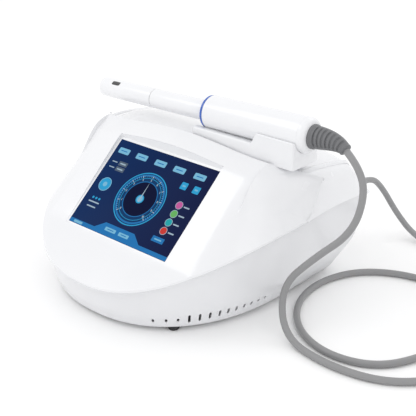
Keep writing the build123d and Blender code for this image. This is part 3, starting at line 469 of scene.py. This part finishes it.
def planRing(half, front, centre, rear):
    # a closed outline: superellipse nose by its angle, straight flanks, rounded rear corners, straight back
    p, r = housing["nosePower"], tray["cornerRadius"]
    a = np.linspace(-math.pi / 2, math.pi / 2, 121)
    noseX = half * np.sign(a) * np.abs(np.sin(a)) ** (2 / p)
    noseY = centre - (centre - front) * np.cos(a) ** (2 / p)
    nose = np.stack([noseX, noseY], -1)
    flank = np.stack([np.full(14, half), np.linspace(centre, rear - r, 15)[1:]], -1)
    t = np.linspace(0, math.pi / 2, 9)[1:]
    corner = np.stack([half - r + r * np.cos(t), rear - r + r * np.sin(t)], -1)
    back = np.stack([np.linspace(half - r, -half + r, 32)[1:-1], np.full(30, rear)], -1)
    right = np.concatenate([flank, corner])
    left = right[::-1] * np.array([-1, 1])
    return np.concatenate([nose, right, back, left])


def trayShell():
    # rows run from the seam down to the knuckle and on to the underside; corners between the straight
    # stretches are quadratic curves (1-t)^2 a + 2t(1-t) corner + t^2 b; the floor shrinks the last
    # ring to a point
    seam, knuckle, under = [planRing(*tray[k]) for k in ("seam", "knuckle", "under")]
    top = np.column_stack([seam, seamHeight(np.clip(seam[:, 1], -160, 164)) - tray["gap"]])
    kneeFront, kneeRear = tray["knuckle"][1], tray["knuckle"][3]
    slope = (tray["kneeZ"][1] - tray["kneeZ"][0]) / (kneeRear - kneeFront)
    mid = np.column_stack([knuckle, tray["kneeZ"][0] + (knuckle[:, 1] - kneeFront) * slope])
    near, far = tray["bendFrom"], tray["bendTo"]
    low = np.column_stack([under, np.full(len(under), tray["floor"])])
    rows = [top + (mid - top) * s for s in np.linspace(0, near, 12)]
    start, end = top + (mid - top) * near, mid + (low - mid) * far
    rows += [start * (1 - t) ** 2 + 2 * t * (1 - t) * mid + end * t ** 2 for t in np.linspace(0, 1, 9)[1:]]
    rows += [mid + (low - mid) * s for s in np.linspace(far, near, 9)[1:]]
    centre = np.array([0, -5.0, tray["floor"]])
    start, end = mid + (low - mid) * near, low + (centre - low) * tray["floorRound"]
    rows += [start * (1 - t) ** 2 + 2 * t * (1 - t) * low + end * t ** 2 for t in np.linspace(0, 1, 7)[1:]]
    rows += [low + (centre - low) * s for s in (0.2, 0.5, 0.8, 0.999)]
    rows = np.stack(rows)
    obj = piece("lower_housing", rows.reshape(-1, 3), gridFaces(*rows.shape[:2], False, True),
                materials["trayWhite"], "console")
    low, high = [np.array(c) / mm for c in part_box("rear_panel")]
    openWindow(obj, (low[0], low[1] - 5, low[2]), (high[0], high[1] + 5, high[2]), (0, 2))
    thicken(obj, housing["wall"])
    return obj


def ventSlots():
    # round-ended slots along the lower band, turned square to the wall: three short, then tall ones that fade
    i = np.arange(tray["ventCount"])
    y = tray["ventFrom"] + tray["ventPitch"] * i * (1 - 0.015 * np.clip(6 - i, 0, 6))
    size = (tray["under"][0] + 7, tray["under"][1] - 2, tray["under"][2] + 8)
    x = noseWidth(y, *size)
    turn = -np.arctan2(noseWidth(y + 1, *size) - x, 1.0)
    height = np.where(i < 3, 5.0, 12.0 - 0.9 * (i - 3))
    half = tray["ventWidth"] / 2
    a = np.linspace(0, math.pi, 7)
    points, faces = [], []
    for side in (1, -1):
        for k in range(len(i)):
            across = np.concatenate([half * np.cos(a), -half * np.cos(a)])
            lift = np.maximum(height[k] / 2 - half, 0.01)
            up = np.concatenate([lift + half * np.sin(a), -lift - half * np.sin(a)])
            n = len(across)
            rings = []
            for depth in (-17.0, 17.0):
                px = x[k] + depth * math.cos(turn[k]) - across * math.sin(turn[k])
                py = y[k] + depth * math.sin(turn[k]) + across * math.cos(turn[k])
                rings.append(np.column_stack([px * side, py, 16.0 + 0.5 * i[k] + up]))
            base = sum(len(p) for p in points)
            ring = np.arange(n)
            faces += [(base + ring).tolist(), (base + n + ring)[::-1].tolist()]
            faces += (base + np.stack([ring, (ring + 1) % n, n + (ring + 1) % n, n + ring], -1)).tolist()
            points += rings
    return np.concatenate(points), faces


lowerHousing = trayShell()
cutAway(lowerHousing, *ventSlots())
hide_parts("base_tray")
print("lower housing made")


def turned(name, profile, place, axis, material, body, replaces, steps=72):
    # a profile of (distance along the axis, radius) carried round it in a full turn
    axis = np.array(axis, float) / np.linalg.norm(axis)
    helper = np.array([0, 0, 1.0]) if abs(axis[2]) < 0.9 else np.array([1.0, 0, 0])
    side = np.cross(helper, axis)
    side /= np.linalg.norm(side)
    other = np.cross(axis, side)
    profile = np.array(profile, float)
    a = np.linspace(0, 2 * math.pi, steps, endpoint=False)
    circle = side * np.cos(a)[:, None] + other * np.sin(a)[:, None]
    points = np.array(place) + profile[:, None, :1] * axis + profile[:, None, 1:] * circle[None]
    return piece(name, points.reshape(-1, 3), gridFaces(len(profile), steps, True, True),
                 material, body, replaces)


# ------ feet

foot = {"radius": 6.5, "height": 5.0, "sunk": 0.4, "rounds": (0, 1.4, 0.4, 0),
        "places": [(-92.0, -106.0), (92.0, -106.0), (-115.0, 105.0), (115.0, 105.0)]}
for k, (x, y) in enumerate(foot["places"]):
    top = foot["height"] + foot["sunk"]
    corners = [(0, 0.01), (0, foot["radius"]), (top, foot["radius"]), (top, 0.01)]
    turned(f"foot_{k + 1}", rounded(corners, foot["rounds"]), (x, y, 0), (0, 0, 1), materials["footRubber"],
           "console", ("rubber_feet",), steps=40)
print("feet made")

# ------ cradle

cradle = {"from": 10.0, "to": 160.0, "step": (98.0, 108.0), "low": 190.0, "high": 203.6, "halfWidth": 23.5,
          "axisY": 38.0, "axisZ": 203.6, "rise": 1.7, "troughR": 20.85, "base": 172.0, "edge": 2.2,
          "endRound": 2.5}


def cradleShell():
    # sections across the handle: outer wall, rounded lip, and a trough that is an arc about the handle's axis;
    # the lip's height steps up smoothly along x, and the end sections shrink to round the block's ends
    x = np.concatenate([np.linspace(cradle["from"], cradle["from"] + 3, 6), np.linspace(14, 97, 20),
                        np.linspace(98, 109, 16), np.linspace(110, 156, 12), np.linspace(157, cradle["to"], 6)])
    stepFrom, stepTo = cradle["step"]
    lip = cradle["low"] + (cradle["high"] - cradle["low"]) * ease((x - stepFrom) / (stepTo - stepFrom))
    axisZ = cradle["axisZ"] + x * math.tan(cradle["rise"] * deg)
    endGap = np.minimum(x - cradle["from"], cradle["to"] - x)
    q = cradle["endRound"]
    tuck = q - np.sqrt(np.maximum(q ** 2 - (q - np.minimum(endGap, q)) ** 2, 0))
    half = cradle["halfWidth"] - tuck
    lip = lip - tuck
    r = cradle["troughR"]
    drop = np.clip((axisZ - lip) / r, 0, 0.98)
    reach = np.arcsin(drop)
    inner = r * np.cos(reach)
    a = np.linspace(0, 1, 17)
    angle = reach[:, None] + (math.pi - 2 * reach[:, None]) * a[None]
    trough = np.stack([np.broadcast_to(x[:, None], angle.shape), cradle["axisY"] + r * np.cos(angle),
                       axisZ[:, None] - r * np.sin(angle)], -1)
    e = np.minimum(cradle["edge"], (half - inner) * 0.45)
    t = np.linspace(0, math.pi / 2, 7)[None]
    lipOut = np.stack([np.broadcast_to(x[:, None], (len(x), 7)),
                       cradle["axisY"] + (half - e)[:, None] + e[:, None] * np.cos(t),
                       (lip - e)[:, None] + e[:, None] * np.sin(t)], -1)
    base = np.stack([x, cradle["axisY"] + half, np.full(len(x), cradle["base"])], -1)[:, None]
    right = np.concatenate([base, lipOut], 1)
    left = right[:, ::-1].copy()
    left[..., 1] = 2 * cradle["axisY"] - left[..., 1]
    ring = np.concatenate([right, trough, left], 1)
    cols = ring.shape[1]
    faces = gridFaces(len(x), cols, False, True).tolist()
    faces += [list(range(cols)), [(len(x) - 1) * cols + k for k in range(cols)][::-1]]
    return piece("handle_cradle", ring.reshape(-1, 3), faces, materials["glossWhite"],
                 "console", ("cradle",), 45)


cradleShell()
print("cradle made")

# ------ applicator, along its own axis

applicator = {"origin": (0, 38.0, 203.6), "rise": 1.7, "sleeveR": 20.5, "shaftR": 12.4, "sleeve": (22.0, 160.0),
              "end": 169.0, "ringStart": 18.6, "joint": -73.0, "tip": -168.0,
              "window": (-138.0, 14.0, 6.0, 35.0)}
axisLine = np.array([math.cos(applicator["rise"] * deg), 0, math.sin(applicator["rise"] * deg)])
axisUp = np.array([-axisLine[2], 0, axisLine[0]])
axisFront = np.array([0, -1.0, 0])


def axisTurned(name, corners, radii, material, body, replaces):
    # a rounded profile of (distance, radius) turned about the applicator's axis
    return turned(name, rounded(corners, radii), applicator["origin"], axisLine, materials[material],
                  body, replaces, steps=96)


s0, s1 = applicator["sleeve"]
R, r = applicator["sleeveR"], applicator["shaftR"]
ringStart, joint, tip, end = applicator["ringStart"], applicator["joint"], applicator["tip"], applicator["end"]
shaftIn, boreIn, spigotEnd = s0 + 14, r - 1.8, joint + 12
axisTurned("handle_shell", [(s0, r), (s0, R), (s1, R), (s1, R - 2.5), (s0 + 4, R - 2.5), (s0 + 4, r)],
           (0, 1.6, 0.35, 0.3, 0, 0), "applicatorWhite", "applicator", ("handle_sleeve",))
axisTurned("handle_cap", [(s1, 6.0), (s1, R), (end, R), (end, 6.0)],
           (0, 0.35, 8.2, 0), "applicatorWhite", "applicator", ("handle_end_cap",))
axisTurned("colour_ring", [(ringStart, r), (ringStart, R - 0.5), (s0, R - 0.5), (s0, r)],
           (0, 0.9, 0.3, 0), "ringBlue", "applicator", ("blue_ring",))
axisTurned("shaft_barrel", [(joint, boreIn), (joint, r), (shaftIn, r), (shaftIn, boreIn)],
           (0, 0.35, 0.2, 0), "applicatorWhite", "applicator", ("shaft_tube",))
axisTurned("cartridge_barrel", [(tip, 0.01), (tip, r), (joint - 0.5, r), (joint - 0.5, 10.5),
                                (spigotEnd, 10.5), (spigotEnd, 0.01)],
           (0, 5.0, 0.35, 0, 0.6, 0), "applicatorWhite", "cartridge", ("cartridge_body",))
# a thin black ring sunk in the gap between cartridge and shaft: painted shade that darkens the parting gap
axisTurned("parting_gap_painted_shade", [(joint - 0.55, r - 1.6), (joint - 0.55, r - 0.3), (joint + 0.05, r - 0.3),
                            (joint + 0.05, r - 1.6)],
           (0, 0, 0, 0), "windowBlackAndGapShade", "cartridge", ())


def windowPane():
    # a rounded rectangle wrapped on the barrel: angle = across / radius, raised a hair at its middle
    centre, length, width, turn = applicator["window"]
    a = np.linspace(0, 2 * math.pi, 64, endpoint=False)
    n = 5.0
    along = length / 2 * np.sign(np.cos(a)) * np.abs(np.cos(a)) ** (2 / n)
    across = width / 2 * np.sign(np.sin(a)) * np.abs(np.sin(a)) ** (2 / n)
    shares = np.array([1.0, 1.0, 0.96, 0.8, 0.5, 0.02])
    radii = np.array([r - 0.6, r + 0.05, r + 0.12, r + 0.15, r + 0.16, r + 0.17])
    angle = turn * deg + across[None] * shares[:, None] / r
    d = centre + along[None] * shares[:, None]
    out = axisUp * np.cos(angle)[..., None] + axisFront * np.sin(angle)[..., None]
    points = np.array(applicator["origin"]) + d[..., None] * axisLine + out * radii[:, None, None]
    faces = gridFaces(6, 64, False, True).tolist() + [list(range(64))[::-1], list(range(5 * 64, 6 * 64))]
    return piece("window_pane", points.reshape(-1, 3), faces, materials["windowBlackAndGapShade"],
                 "cartridge", ("acoustic_window",))


windowPane()
print("applicator made")


# ------ hose: the route repeats the CAD model's points, in metres

hose = {"diameter": 0.008, "sides": 20}
hoseRoute = [
    (0.2135, 0.034, 0.2052), (0.233, 0.030, 0.1935), (0.248, 0.024, 0.168), (0.243, 0.012, 0.125),
    (0.206, -0.002, 0.088), (0.178, -0.023, 0.052), (0.200, -0.044, 0.0042), (0.267, -0.057, 0.0042),
    (0.333, -0.042, 0.0042), (0.376, 0.012, 0.0042), (0.382, 0.082, 0.0042), (0.352, 0.146, 0.0042),
    (0.290, 0.180, 0.0042), (0.222, 0.173, 0.0042), (0.174, 0.140, 0.0042), (0.155, 0.085, 0.0042),
    (0.164, 0.028, 0.0042), (0.200, -0.020, 0.0042), (0.252, -0.041, 0.0042), (0.306, -0.026, 0.0042),
    (0.334, 0.024, 0.0042), (0.342, 0.080, 0.0042), (0.334, 0.128, 0.018), (0.312, 0.184, 0.018),
    (0.278, 0.232, 0.0042), (0.224, 0.262, 0.0042), (0.178, 0.272, 0.007), (0.146, 0.276, 0.030),
    (0.128, 0.264, 0.066), (0.125, 0.238, 0.088), (0.125, 0.2063, 0.088),
]


def centreLine(route):
    # the smooth line that a NURBS spline of order 3 makes from the route
    data = bpy.data.curves.new("hoseLine", "CURVE")
    data.dimensions = "3D"
    data.resolution_u = 16
    spline = data.splines.new("NURBS")
    spline.points.add(len(route) - 1)
    spline.points.foreach_set("co", np.column_stack([route, np.ones(len(route))]).ravel())
    spline.order_u = 3
    spline.use_endpoint_u = True
    obj = bpy.data.objects.new("hoseLine", data)
    bpy.context.collection.objects.link(obj)
    bpy.context.view_layer.update()
    graph = bpy.context.evaluated_depsgraph_get()
    mesh = bpy.data.meshes.new_from_object(obj.evaluated_get(graph), depsgraph=graph)
    line = np.empty(len(mesh.vertices) * 3)
    mesh.vertices.foreach_get("co", line)
    bpy.data.objects.remove(obj)
    bpy.data.meshes.remove(mesh)
    return line.reshape(-1, 3)


def tubeAlong(line, radius, sides):
    # rings across the line's tangents, each frame turned as little as it can be from the one before
    tangent = np.gradient(line, axis=0)
    tangent /= np.linalg.norm(tangent, axis=1, keepdims=True)
    across = np.empty_like(tangent)
    across[0] = np.cross(tangent[0], (0, 0, 1.0))
    for k in range(1, len(line)):
        across[k] = across[k - 1] - tangent[k] * np.dot(across[k - 1], tangent[k])
        across[k] /= np.linalg.norm(across[k])
    across[0] /= np.linalg.norm(across[0])
    other = np.cross(tangent, across)
    a = np.linspace(0, 2 * math.pi, sides, endpoint=False)
    radius = np.broadcast_to(np.asarray(radius, float), (len(line), sides))
    out = across[:, None] * np.cos(a)[None, :, None] + other[:, None] * np.sin(a)[None, :, None]
    return line[:, None] + radius[..., None] * out


def capped(rings):
    # the faces of a tube of rings, closed at both ends
    rows, cols = rings.shape[:2]
    faces = gridFaces(rows, cols, False, True).tolist()
    faces += [list(range(cols))[::-1], [(rows - 1) * cols + k for k in range(cols)]]
    return rings.reshape(-1, 3), faces


hoseLine = centreLine(hoseRoute)
points, faces = capped(tubeAlong(hoseLine, hose["diameter"] / 2, hose["sides"]))
hosePiece = piece("hose", points / mm, faces, materials["hoseRubber"], None, ("cable",))

# ------ strain relief

relief = {"rootR": 13.0, "tipR": 6.2, "slots": 7, "slotDepth": 1.5, "reach": 15.0, "steps": 150, "sides": 72,
          "slotsFrom": 0.12, "slotsTo": 0.9}


def strainRelief():
    # a cubic curve from the end cap to the hose; the radius tapers, and slots are cut where a wave along the
    # curve and a wave round it are both high: depth * step(-cos(n s)) * step(|cos(turn)|)
    start = np.array(applicator["origin"]) + applicator["end"] * axisLine
    tip = np.array(hoseRoute[0]) / mm
    ahead = np.array(hoseRoute[1]) / mm - tip
    ahead /= np.linalg.norm(ahead)
    tip = tip + ahead * 1.5
    s = np.linspace(0, 1, relief["steps"])[:, None]
    p1, p2 = start + axisLine * relief["reach"], tip - ahead * relief["reach"]
    line = start * (1 - s) ** 3 + 3 * p1 * s * (1 - s) ** 2 + 3 * p2 * s ** 2 * (1 - s) + tip * s ** 3
    s = s[:, 0]
    body = relief["rootR"] + (relief["tipR"] - relief["rootR"]) * ease(s * 0.55) / ease(0.55)
    collar = 0.9 * (1 - ease((s - 0.06) / 0.03)) + 0.5 * ease((s - 0.93) / 0.02)
    end = np.sqrt(np.clip(1 - np.clip((s - 0.975) / 0.025, 0, 1) ** 2, 0.3, 1))
    a = np.linspace(0, 2 * math.pi, relief["sides"], endpoint=False)
    inside = ease((s - relief["slotsFrom"]) / 0.02) * ease((relief["slotsTo"] - s) / 0.02)
    turns = relief["slots"] * (s - relief["slotsFrom"]) / (relief["slotsTo"] - relief["slotsFrom"])
    wave = ease((-np.cos(2 * math.pi * turns) - 0.05) / 0.35)
    sector = ease((np.abs(np.cos(a + 0.4)) - 0.35) / 0.2)
    cutIn = relief["slotDepth"] * (inside * wave)[:, None] * sector[None]
    radius = (body + collar)[:, None] * end[:, None] - cutIn
    points, faces = capped(tubeAlong(line, radius, relief["sides"]))
    return piece("strain_relief_sleeve", points, faces, materials["reliefRubber"],
                 "applicator", ("strain_relief",), 60)


reliefPiece = strainRelief()
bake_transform(hosePiece)
print("hose and strain relief made")

# ------ display: everything lit lies on the glass, laid out on a grid of 800 by 600 units

layout = {"across": 800.0, "down": 600.0, "lift": 0.06, "thick": 0.10, "gap": 0.01}
shades = {
    "paleCyan": lit("paleCyan", (0.22, 0.55, 0.78), 0.8),
    "cyan": lit("cyan", (0.03, 0.36, 0.66), 0.9),
    "skyBlue": lit("skyBlue", (0.02, 0.20, 0.52), 0.8),
    "deepBlue": lit("deepBlue", (0.006, 0.05, 0.16), 0.8),
    "nightBlue": lit("nightBlue", (0.002, 0.008, 0.06), 0.5),
    "softWhite": lit("softWhite", (0.42, 0.55, 0.66), 0.8),
    "panelGrey": lit("panelGrey", (0.10, 0.14, 0.20), 0.8),
    "pink": lit("pink", (0.62, 0.12, 0.38), 0.8),
    "green": lit("green", (0.16, 0.50, 0.14), 0.8),
    "teal": lit("teal", (0.02, 0.42, 0.46), 0.8),
    "red": lit("red", (0.68, 0.05, 0.04), 0.8),
}
drawn = {name: ([], []) for name in shades}
stacking = ("deepBlue", "nightBlue", "skyBlue", "cyan", "panelGrey", "paleCyan", "pink", "green", "teal", "red",
            "softWhite")
levels = {name: k for k, name in enumerate(stacking)}


def onGlass(u, v, height):
    # layout units to a point over the screen plane: right along x, up along the tilted plane
    x = (np.asarray(u) / layout["across"] - 0.5) * screen["width"]
    w = (0.5 - np.asarray(v) / layout["down"]) * screen["height"]
    c, s = math.cos(screen["tilt"] * deg), math.sin(screen["tilt"] * deg)
    return np.stack([x, screen["y"] + w * c - height * s, screen["z"] + w * s + height * c], -1)


def plateTop(shade, raised):
    # later shades lie higher, so that overlapping shapes never share a plane
    return layout["lift"] * (0.2 + 0.4 * (levels[shade] + raised)) + layout["thick"] * 0.2


def drawPlate(shade, u, v, raised=0):
    # a thin closed plate over an outline given in layout units
    points, faces = drawn[shade]
    n = len(u)
    base = sum(len(p) for p in points)
    flat = np.ones(n)
    points += [onGlass(u, v, flat * layout["gap"]), onGlass(u, v, flat * plateTop(shade, raised))]
    ring = np.arange(n)
    faces += [(base + ring)[::-1].tolist(), (base + n + ring).tolist()]
    faces += (base + np.stack([ring, (ring + 1) % n, n + (ring + 1) % n, n + ring], -1)).tolist()


def drawBox(shade, u0, v0, u1, v1, corner=4, raised=0):
    # rectangle with rounded corners
    corner = min(corner, (u1 - u0) / 2.01, (v1 - v0) / 2.01)
    t = np.linspace(0, math.pi / 2, 5)
    us, vs = [], []
    left, right, upper, lower = u0 + corner, u1 - corner, v0 + corner, v1 - corner
    for quarter, (cu, cv) in enumerate(((right, upper), (left, upper), (left, lower), (right, lower))):
        us.append(cu + corner * np.cos(t + quarter * math.pi / 2))
        vs.append(cv - corner * np.sin(t + quarter * math.pi / 2))
    drawPlate(shade, np.concatenate(us), np.concatenate(vs), raised)


def drawDisc(shade, u, v, radius, raised=0, steps=56):
    # a round plate
    a = np.linspace(0, 2 * math.pi, steps, endpoint=False)
    drawPlate(shade, u + radius * np.cos(a), v - radius * np.sin(a), raised)


def drawRing(shade, u, v, inner, outer, raised=0, start=0.0, end=360.0, steps=120):
    # a band between two radii, over the angles from start to end, counted from the right
    points, faces = drawn[shade]
    top, gap = plateTop(shade, raised), layout["gap"]
    whole = end - start >= 360
    a = np.linspace(start * deg, end * deg, steps, endpoint=not whole)
    rows = [onGlass(u + q * np.cos(a), v - q * np.sin(a), h + 0 * a)
            for q, h in ((inner, gap), (inner, top), (outer, top), (outer, gap))]
    base = sum(len(p) for p in points)
    points.append(np.concatenate(rows))
    faces += (base + gridFaces(4, steps, True, whole)).tolist()
    if not whole:
        faces += [[base + k * steps for k in range(4)], [base + k * steps + steps - 1 for k in range(4)][::-1]]


def drawNumber(text, u, v, size):
    # seven-bar digits for the dial's scale
    bars = {"0": "abcdef", "1": "bc", "2": "abged", "3": "abgcd", "4": "fgbc", "5": "afgcd",
            "6": "afgedc", "7": "abc", "8": "abcdefg", "9": "abcdfg"}
    thick, wide, tall = size * 0.16, size * 0.5, size
    shapes = {"a": (0, 0, wide, thick), "b": (wide - thick, 0, wide, tall / 2),
              "c": (wide - thick, tall / 2, wide, tall),
              "d": (0, tall - thick, wide, tall), "e": (0, tall / 2, thick, tall), "f": (0, 0, thick, tall / 2),
              "g": (0, tall / 2 - thick / 2, wide, tall / 2 + thick / 2)}
    start = u - (len(text) * wide * 1.35 - wide * 0.35) / 2
    for k, digit in enumerate(text):
        for bar in bars[digit]:
            a, b, c, d = shapes[bar]
            left = start + k * wide * 1.35
            drawBox("softWhite", left + a, v - tall / 2 + b, left + c, v - tall / 2 + d, 0.5)


dial = {"u": 395.0, "v": 318.0, "radius": 177.0, "first": 225.0, "span": 270.0, "marks": 11, "hub": 28.0}
drawRing("cyan", dial["u"], dial["v"], dial["radius"] - 7, dial["radius"])
drawRing("skyBlue", dial["u"], dial["v"], dial["radius"] - 24, dial["radius"] - 12)
drawDisc("deepBlue", dial["u"], dial["v"], dial["radius"] - 26)
drawRing("cyan", dial["u"], dial["v"], 138, 141)
drawDisc("nightBlue", dial["u"], dial["v"], 116)
drawRing("skyBlue", dial["u"], dial["v"], 113, 118)
for k in range(5 * (dial["marks"] - 1) + 1):
    a = (dial["first"] - dial["span"] * k / (5 * (dial["marks"] - 1))) * deg
    numbered = k % 5 == 0
    q0, q1, w = (144 if numbered else 148), 158, (2.4 if numbered else 1.0)
    du, dv, nu, nv = math.cos(a), -math.sin(a), math.sin(a), math.cos(a)
    us = dial["u"] + np.array([q0 * du + w * nu, q1 * du + w * nu, q1 * du - w * nu, q0 * du - w * nu])
    vs = dial["v"] + np.array([q0 * dv + w * nv, q1 * dv + w * nv, q1 * dv - w * nv, q0 * dv - w * nv])
    drawPlate("softWhite" if numbered else "paleCyan", us, vs)
    if numbered:
        drawNumber(str(k // 5), dial["u"] + 129 * du, dial["v"] + 129 * dv, 13)
needleAcross, needleDown = np.array([-3.5, 0, 3.5, 3.5, -3.5]), np.array([-20, -108, -20, 18, 18])
drawPlate("softWhite", dial["u"] + needleAcross, dial["v"] + needleDown)
drawDisc("cyan", dial["u"], dial["v"], dial["hub"])
drawDisc("paleCyan", dial["u"], dial["v"], dial["hub"] - 8)

for u0, u1 in ((32, 120), (183, 272), (340, 428), (492, 580), (652, 738)):
    drawBox("paleCyan", u0, 52, u1, 90, 7)
    drawBox("skyBlue", u0 + 18, 68, u1 - 18, 74, 2, raised=4)
for u0, u1 in ((606, 653), (700, 747)):
    drawBox("cyan", u0, 130, u1, 176, 5)
    drawBox("paleCyan", u0 + 12, 148, u1 - 12, 158, 2)
for v0, v1 in ((138, 168), (176, 206)):
    drawBox("panelGrey", 92, v0, 162, v1, 3)
    drawBox("softWhite", 104, v0 + 11, 150, v1 - 11, 2)
    drawBox("softWhite", 36, v0 + 12, 78, v1 - 12, 2)
drawDisc("cyan", 90, 308, 40)
drawRing("paleCyan", 90, 308, 41, 46)
drawDisc("paleCyan", 90, 308, 16)
for u in (67, 93, 119):
    drawDisc("cyan", u, 409, 8, steps=24)
for v, half in ((437, 44), (468, 36)):
    drawBox("softWhite", 93 - half, v - 4, 93 + half, v + 4, 3)
for v, shade in ((270, "pink"), (328, "green"), (385, "teal"), (441, "red")):
    drawDisc(shade, 675, v, 22)
    drawRing("softWhite", 675, v, 22.5, 25)
    drawBox("softWhite", 710, v - 4, 752, v + 4, 3)
drawBox("skyBlue", 630, 484, 718, 518, 4)
drawBox("paleCyan", 648, 497, 700, 505, 2)
drawBox("skyBlue", 2, 572, 798, 598, 1)
drawPlate("skyBlue", np.array([205.0, 270, 505, 575]), np.array([572.5, 522, 522, 572.5]))
for u0, u1 in ((288, 375), (400, 480)):
    drawBox("paleCyan", u0, 545, u1, 568, 5)
    drawBox("skyBlue", u0 + 18, 554, u1 - 18, 559, 2, raised=4)
drawBox("paleCyan", 38, 578, 110, 594, 4)
for shade, (points, faces) in drawn.items():
    piece("display_" + shade, np.concatenate(points), faces, shades[shade],
          "console", smoothAngle=30)
print("display drawn")


def glassShader():
    # dark lit panel: navy at the left fading to near black at the lower right, under clear glass
    material, nodes, links, skin = shader("displayGlass")
    place = nodes.new("ShaderNodeTexCoord")
    split = nodes.new("ShaderNodeSeparateXYZ")
    links.new(place.outputs["Object"], split.inputs["Vector"])
    ramp = nodes.new("ShaderNodeMapRange")
    ramp.inputs["From Min"].default_value = -screen["width"] / 2 * mm
    ramp.inputs["From Max"].default_value = screen["width"] / 2 * mm
    links.new(split.outputs["X"], ramp.inputs["Value"])
    tones = nodes.new("ShaderNodeValToRGB")
    tones.color_ramp.elements[0].color = (0.003, 0.022, 0.085, 1)
    tones.color_ramp.elements[1].color = (0.001, 0.004, 0.03, 1)
    links.new(ramp.outputs["Result"], tones.inputs["Fac"])
    links.new(tones.outputs["Color"], skin.inputs["Emission Color"])
    skin.inputs["Emission Strength"].default_value = 1.0
    skin.inputs["Base Color"].default_value = (0.002, 0.004, 0.02, 1)
    skin.inputs["Roughness"].default_value = 0.12
    skin.inputs["Specular IOR Level"].default_value = 0.03
    return material


# ------ finishes of the CAD pieces that stay

materials["displayGlass"] = glassShader()
finishes = {
    "glossWhite": ("screen_bezel",),
    "displayGlass": ("touch_glass",),
    "aluminium": ("lcd_panel", "display_bracket", "power_supply", "heat_sink", "motor_mount"),
    "boardGreen": ("display_board", "generator_board", "handle_board"),
    "brass": ("board_standoffs", "transducer", "motor_coupling"),
    "rearPlate": ("rear_panel",),
    "blackPlastic": ("power_inlet", "fuse_drawer", "power_switch_frame", "fan_frame", "fan_rotor",
                     "transducer_carriage"),
    "rockerBlack": ("power_rocker",),
    "steel": ("applicator_socket", "cable_plug", "guide_screw", "motor_shaft", "drive_rod", "case_screws"),
    "reliefRubber": ("plug_grip", "plug_boot"),
    "footRubber": ("seal_ring",),
    "motorBlack": ("drive_motor",),
}
for finish, nodeNames in finishes.items():
    for node in nodeNames:
        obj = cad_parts[node]
        if not obj.data.materials:
            obj.data.materials.append(None)
        for place in obj.material_slots:
            place.material = materials[finish]
print("finishes set")

# ------ studio: floor, light and camera

studio = {"floor": 6.0, "target": (0, 0, 0.1), "sensor": 36, "azimuth": 41.91, "elevation": 24.3,
          "camera": (0.700, -0.7256, 0.540), "lens": 77.74}


def stageFloor():
    half = studio["floor"]
    mesh = bpy.data.meshes.new("floor")
    corners = [(-half, -half, 0), (half, -half, 0), (half, half, 0), (-half, half, 0)]
    mesh.from_pydata(corners, [], [(0, 1, 2, 3)])
    obj = bpy.data.objects.new("floor", mesh)
    bpy.context.collection.objects.link(obj)
    material, nodes, links, skin = shader("paleFloor")
    skin.inputs["Base Color"].default_value = (0.97, 0.97, 0.972, 1)
    skin.inputs["Roughness"].default_value = 0.75
    mesh.materials.append(material)


def areaLight(name, place, size, power):
    # a rectangle of light that faces the middle of the object
    light = bpy.data.lights.new(name, "AREA")
    light.shape = "RECTANGLE"
    light.size, light.size_y = size
    light.energy = power
    obj = bpy.data.objects.new(name, light)
    bpy.context.collection.objects.link(obj)
    obj.location = place
    aim = Vector(studio["target"]) - Vector(place)
    obj.rotation_euler = aim.to_track_quat("-Z", "Y").to_euler()


stageFloor()
areaLight("keyLight", (-0.9, -0.9, 1.5), (1.0, 1.0), 5)
areaLight("fillLight", (1.6, -0.4, 1.1), (0.6, 1.2), 1.2)
areaLight("backLight", (0.3, 1.5, 1.4), (1.4, 0.8), 3)
world = bpy.data.worlds.new("studio")
world.use_nodes = True
world.node_tree.nodes["Background"].inputs["Color"].default_value = (1.0, 1.0, 1.0, 1)
world.node_tree.nodes["Background"].inputs["Strength"].default_value = 1.0
bpy.context.scene.world = world

camera = bpy.data.cameras.new("camera")
camera.lens = studio["lens"]
camera.sensor_width = studio["sensor"]
cameraObject = bpy.data.objects.new("camera", camera)
bpy.context.collection.objects.link(cameraObject)
cameraObject.location = studio["camera"]
cameraObject.rotation_euler = ((90 - studio["elevation"]) * deg, 0, studio["azimuth"] * deg)
bpy.context.scene.camera = cameraObject
bpy.context.scene.view_settings.view_transform = "Standard"
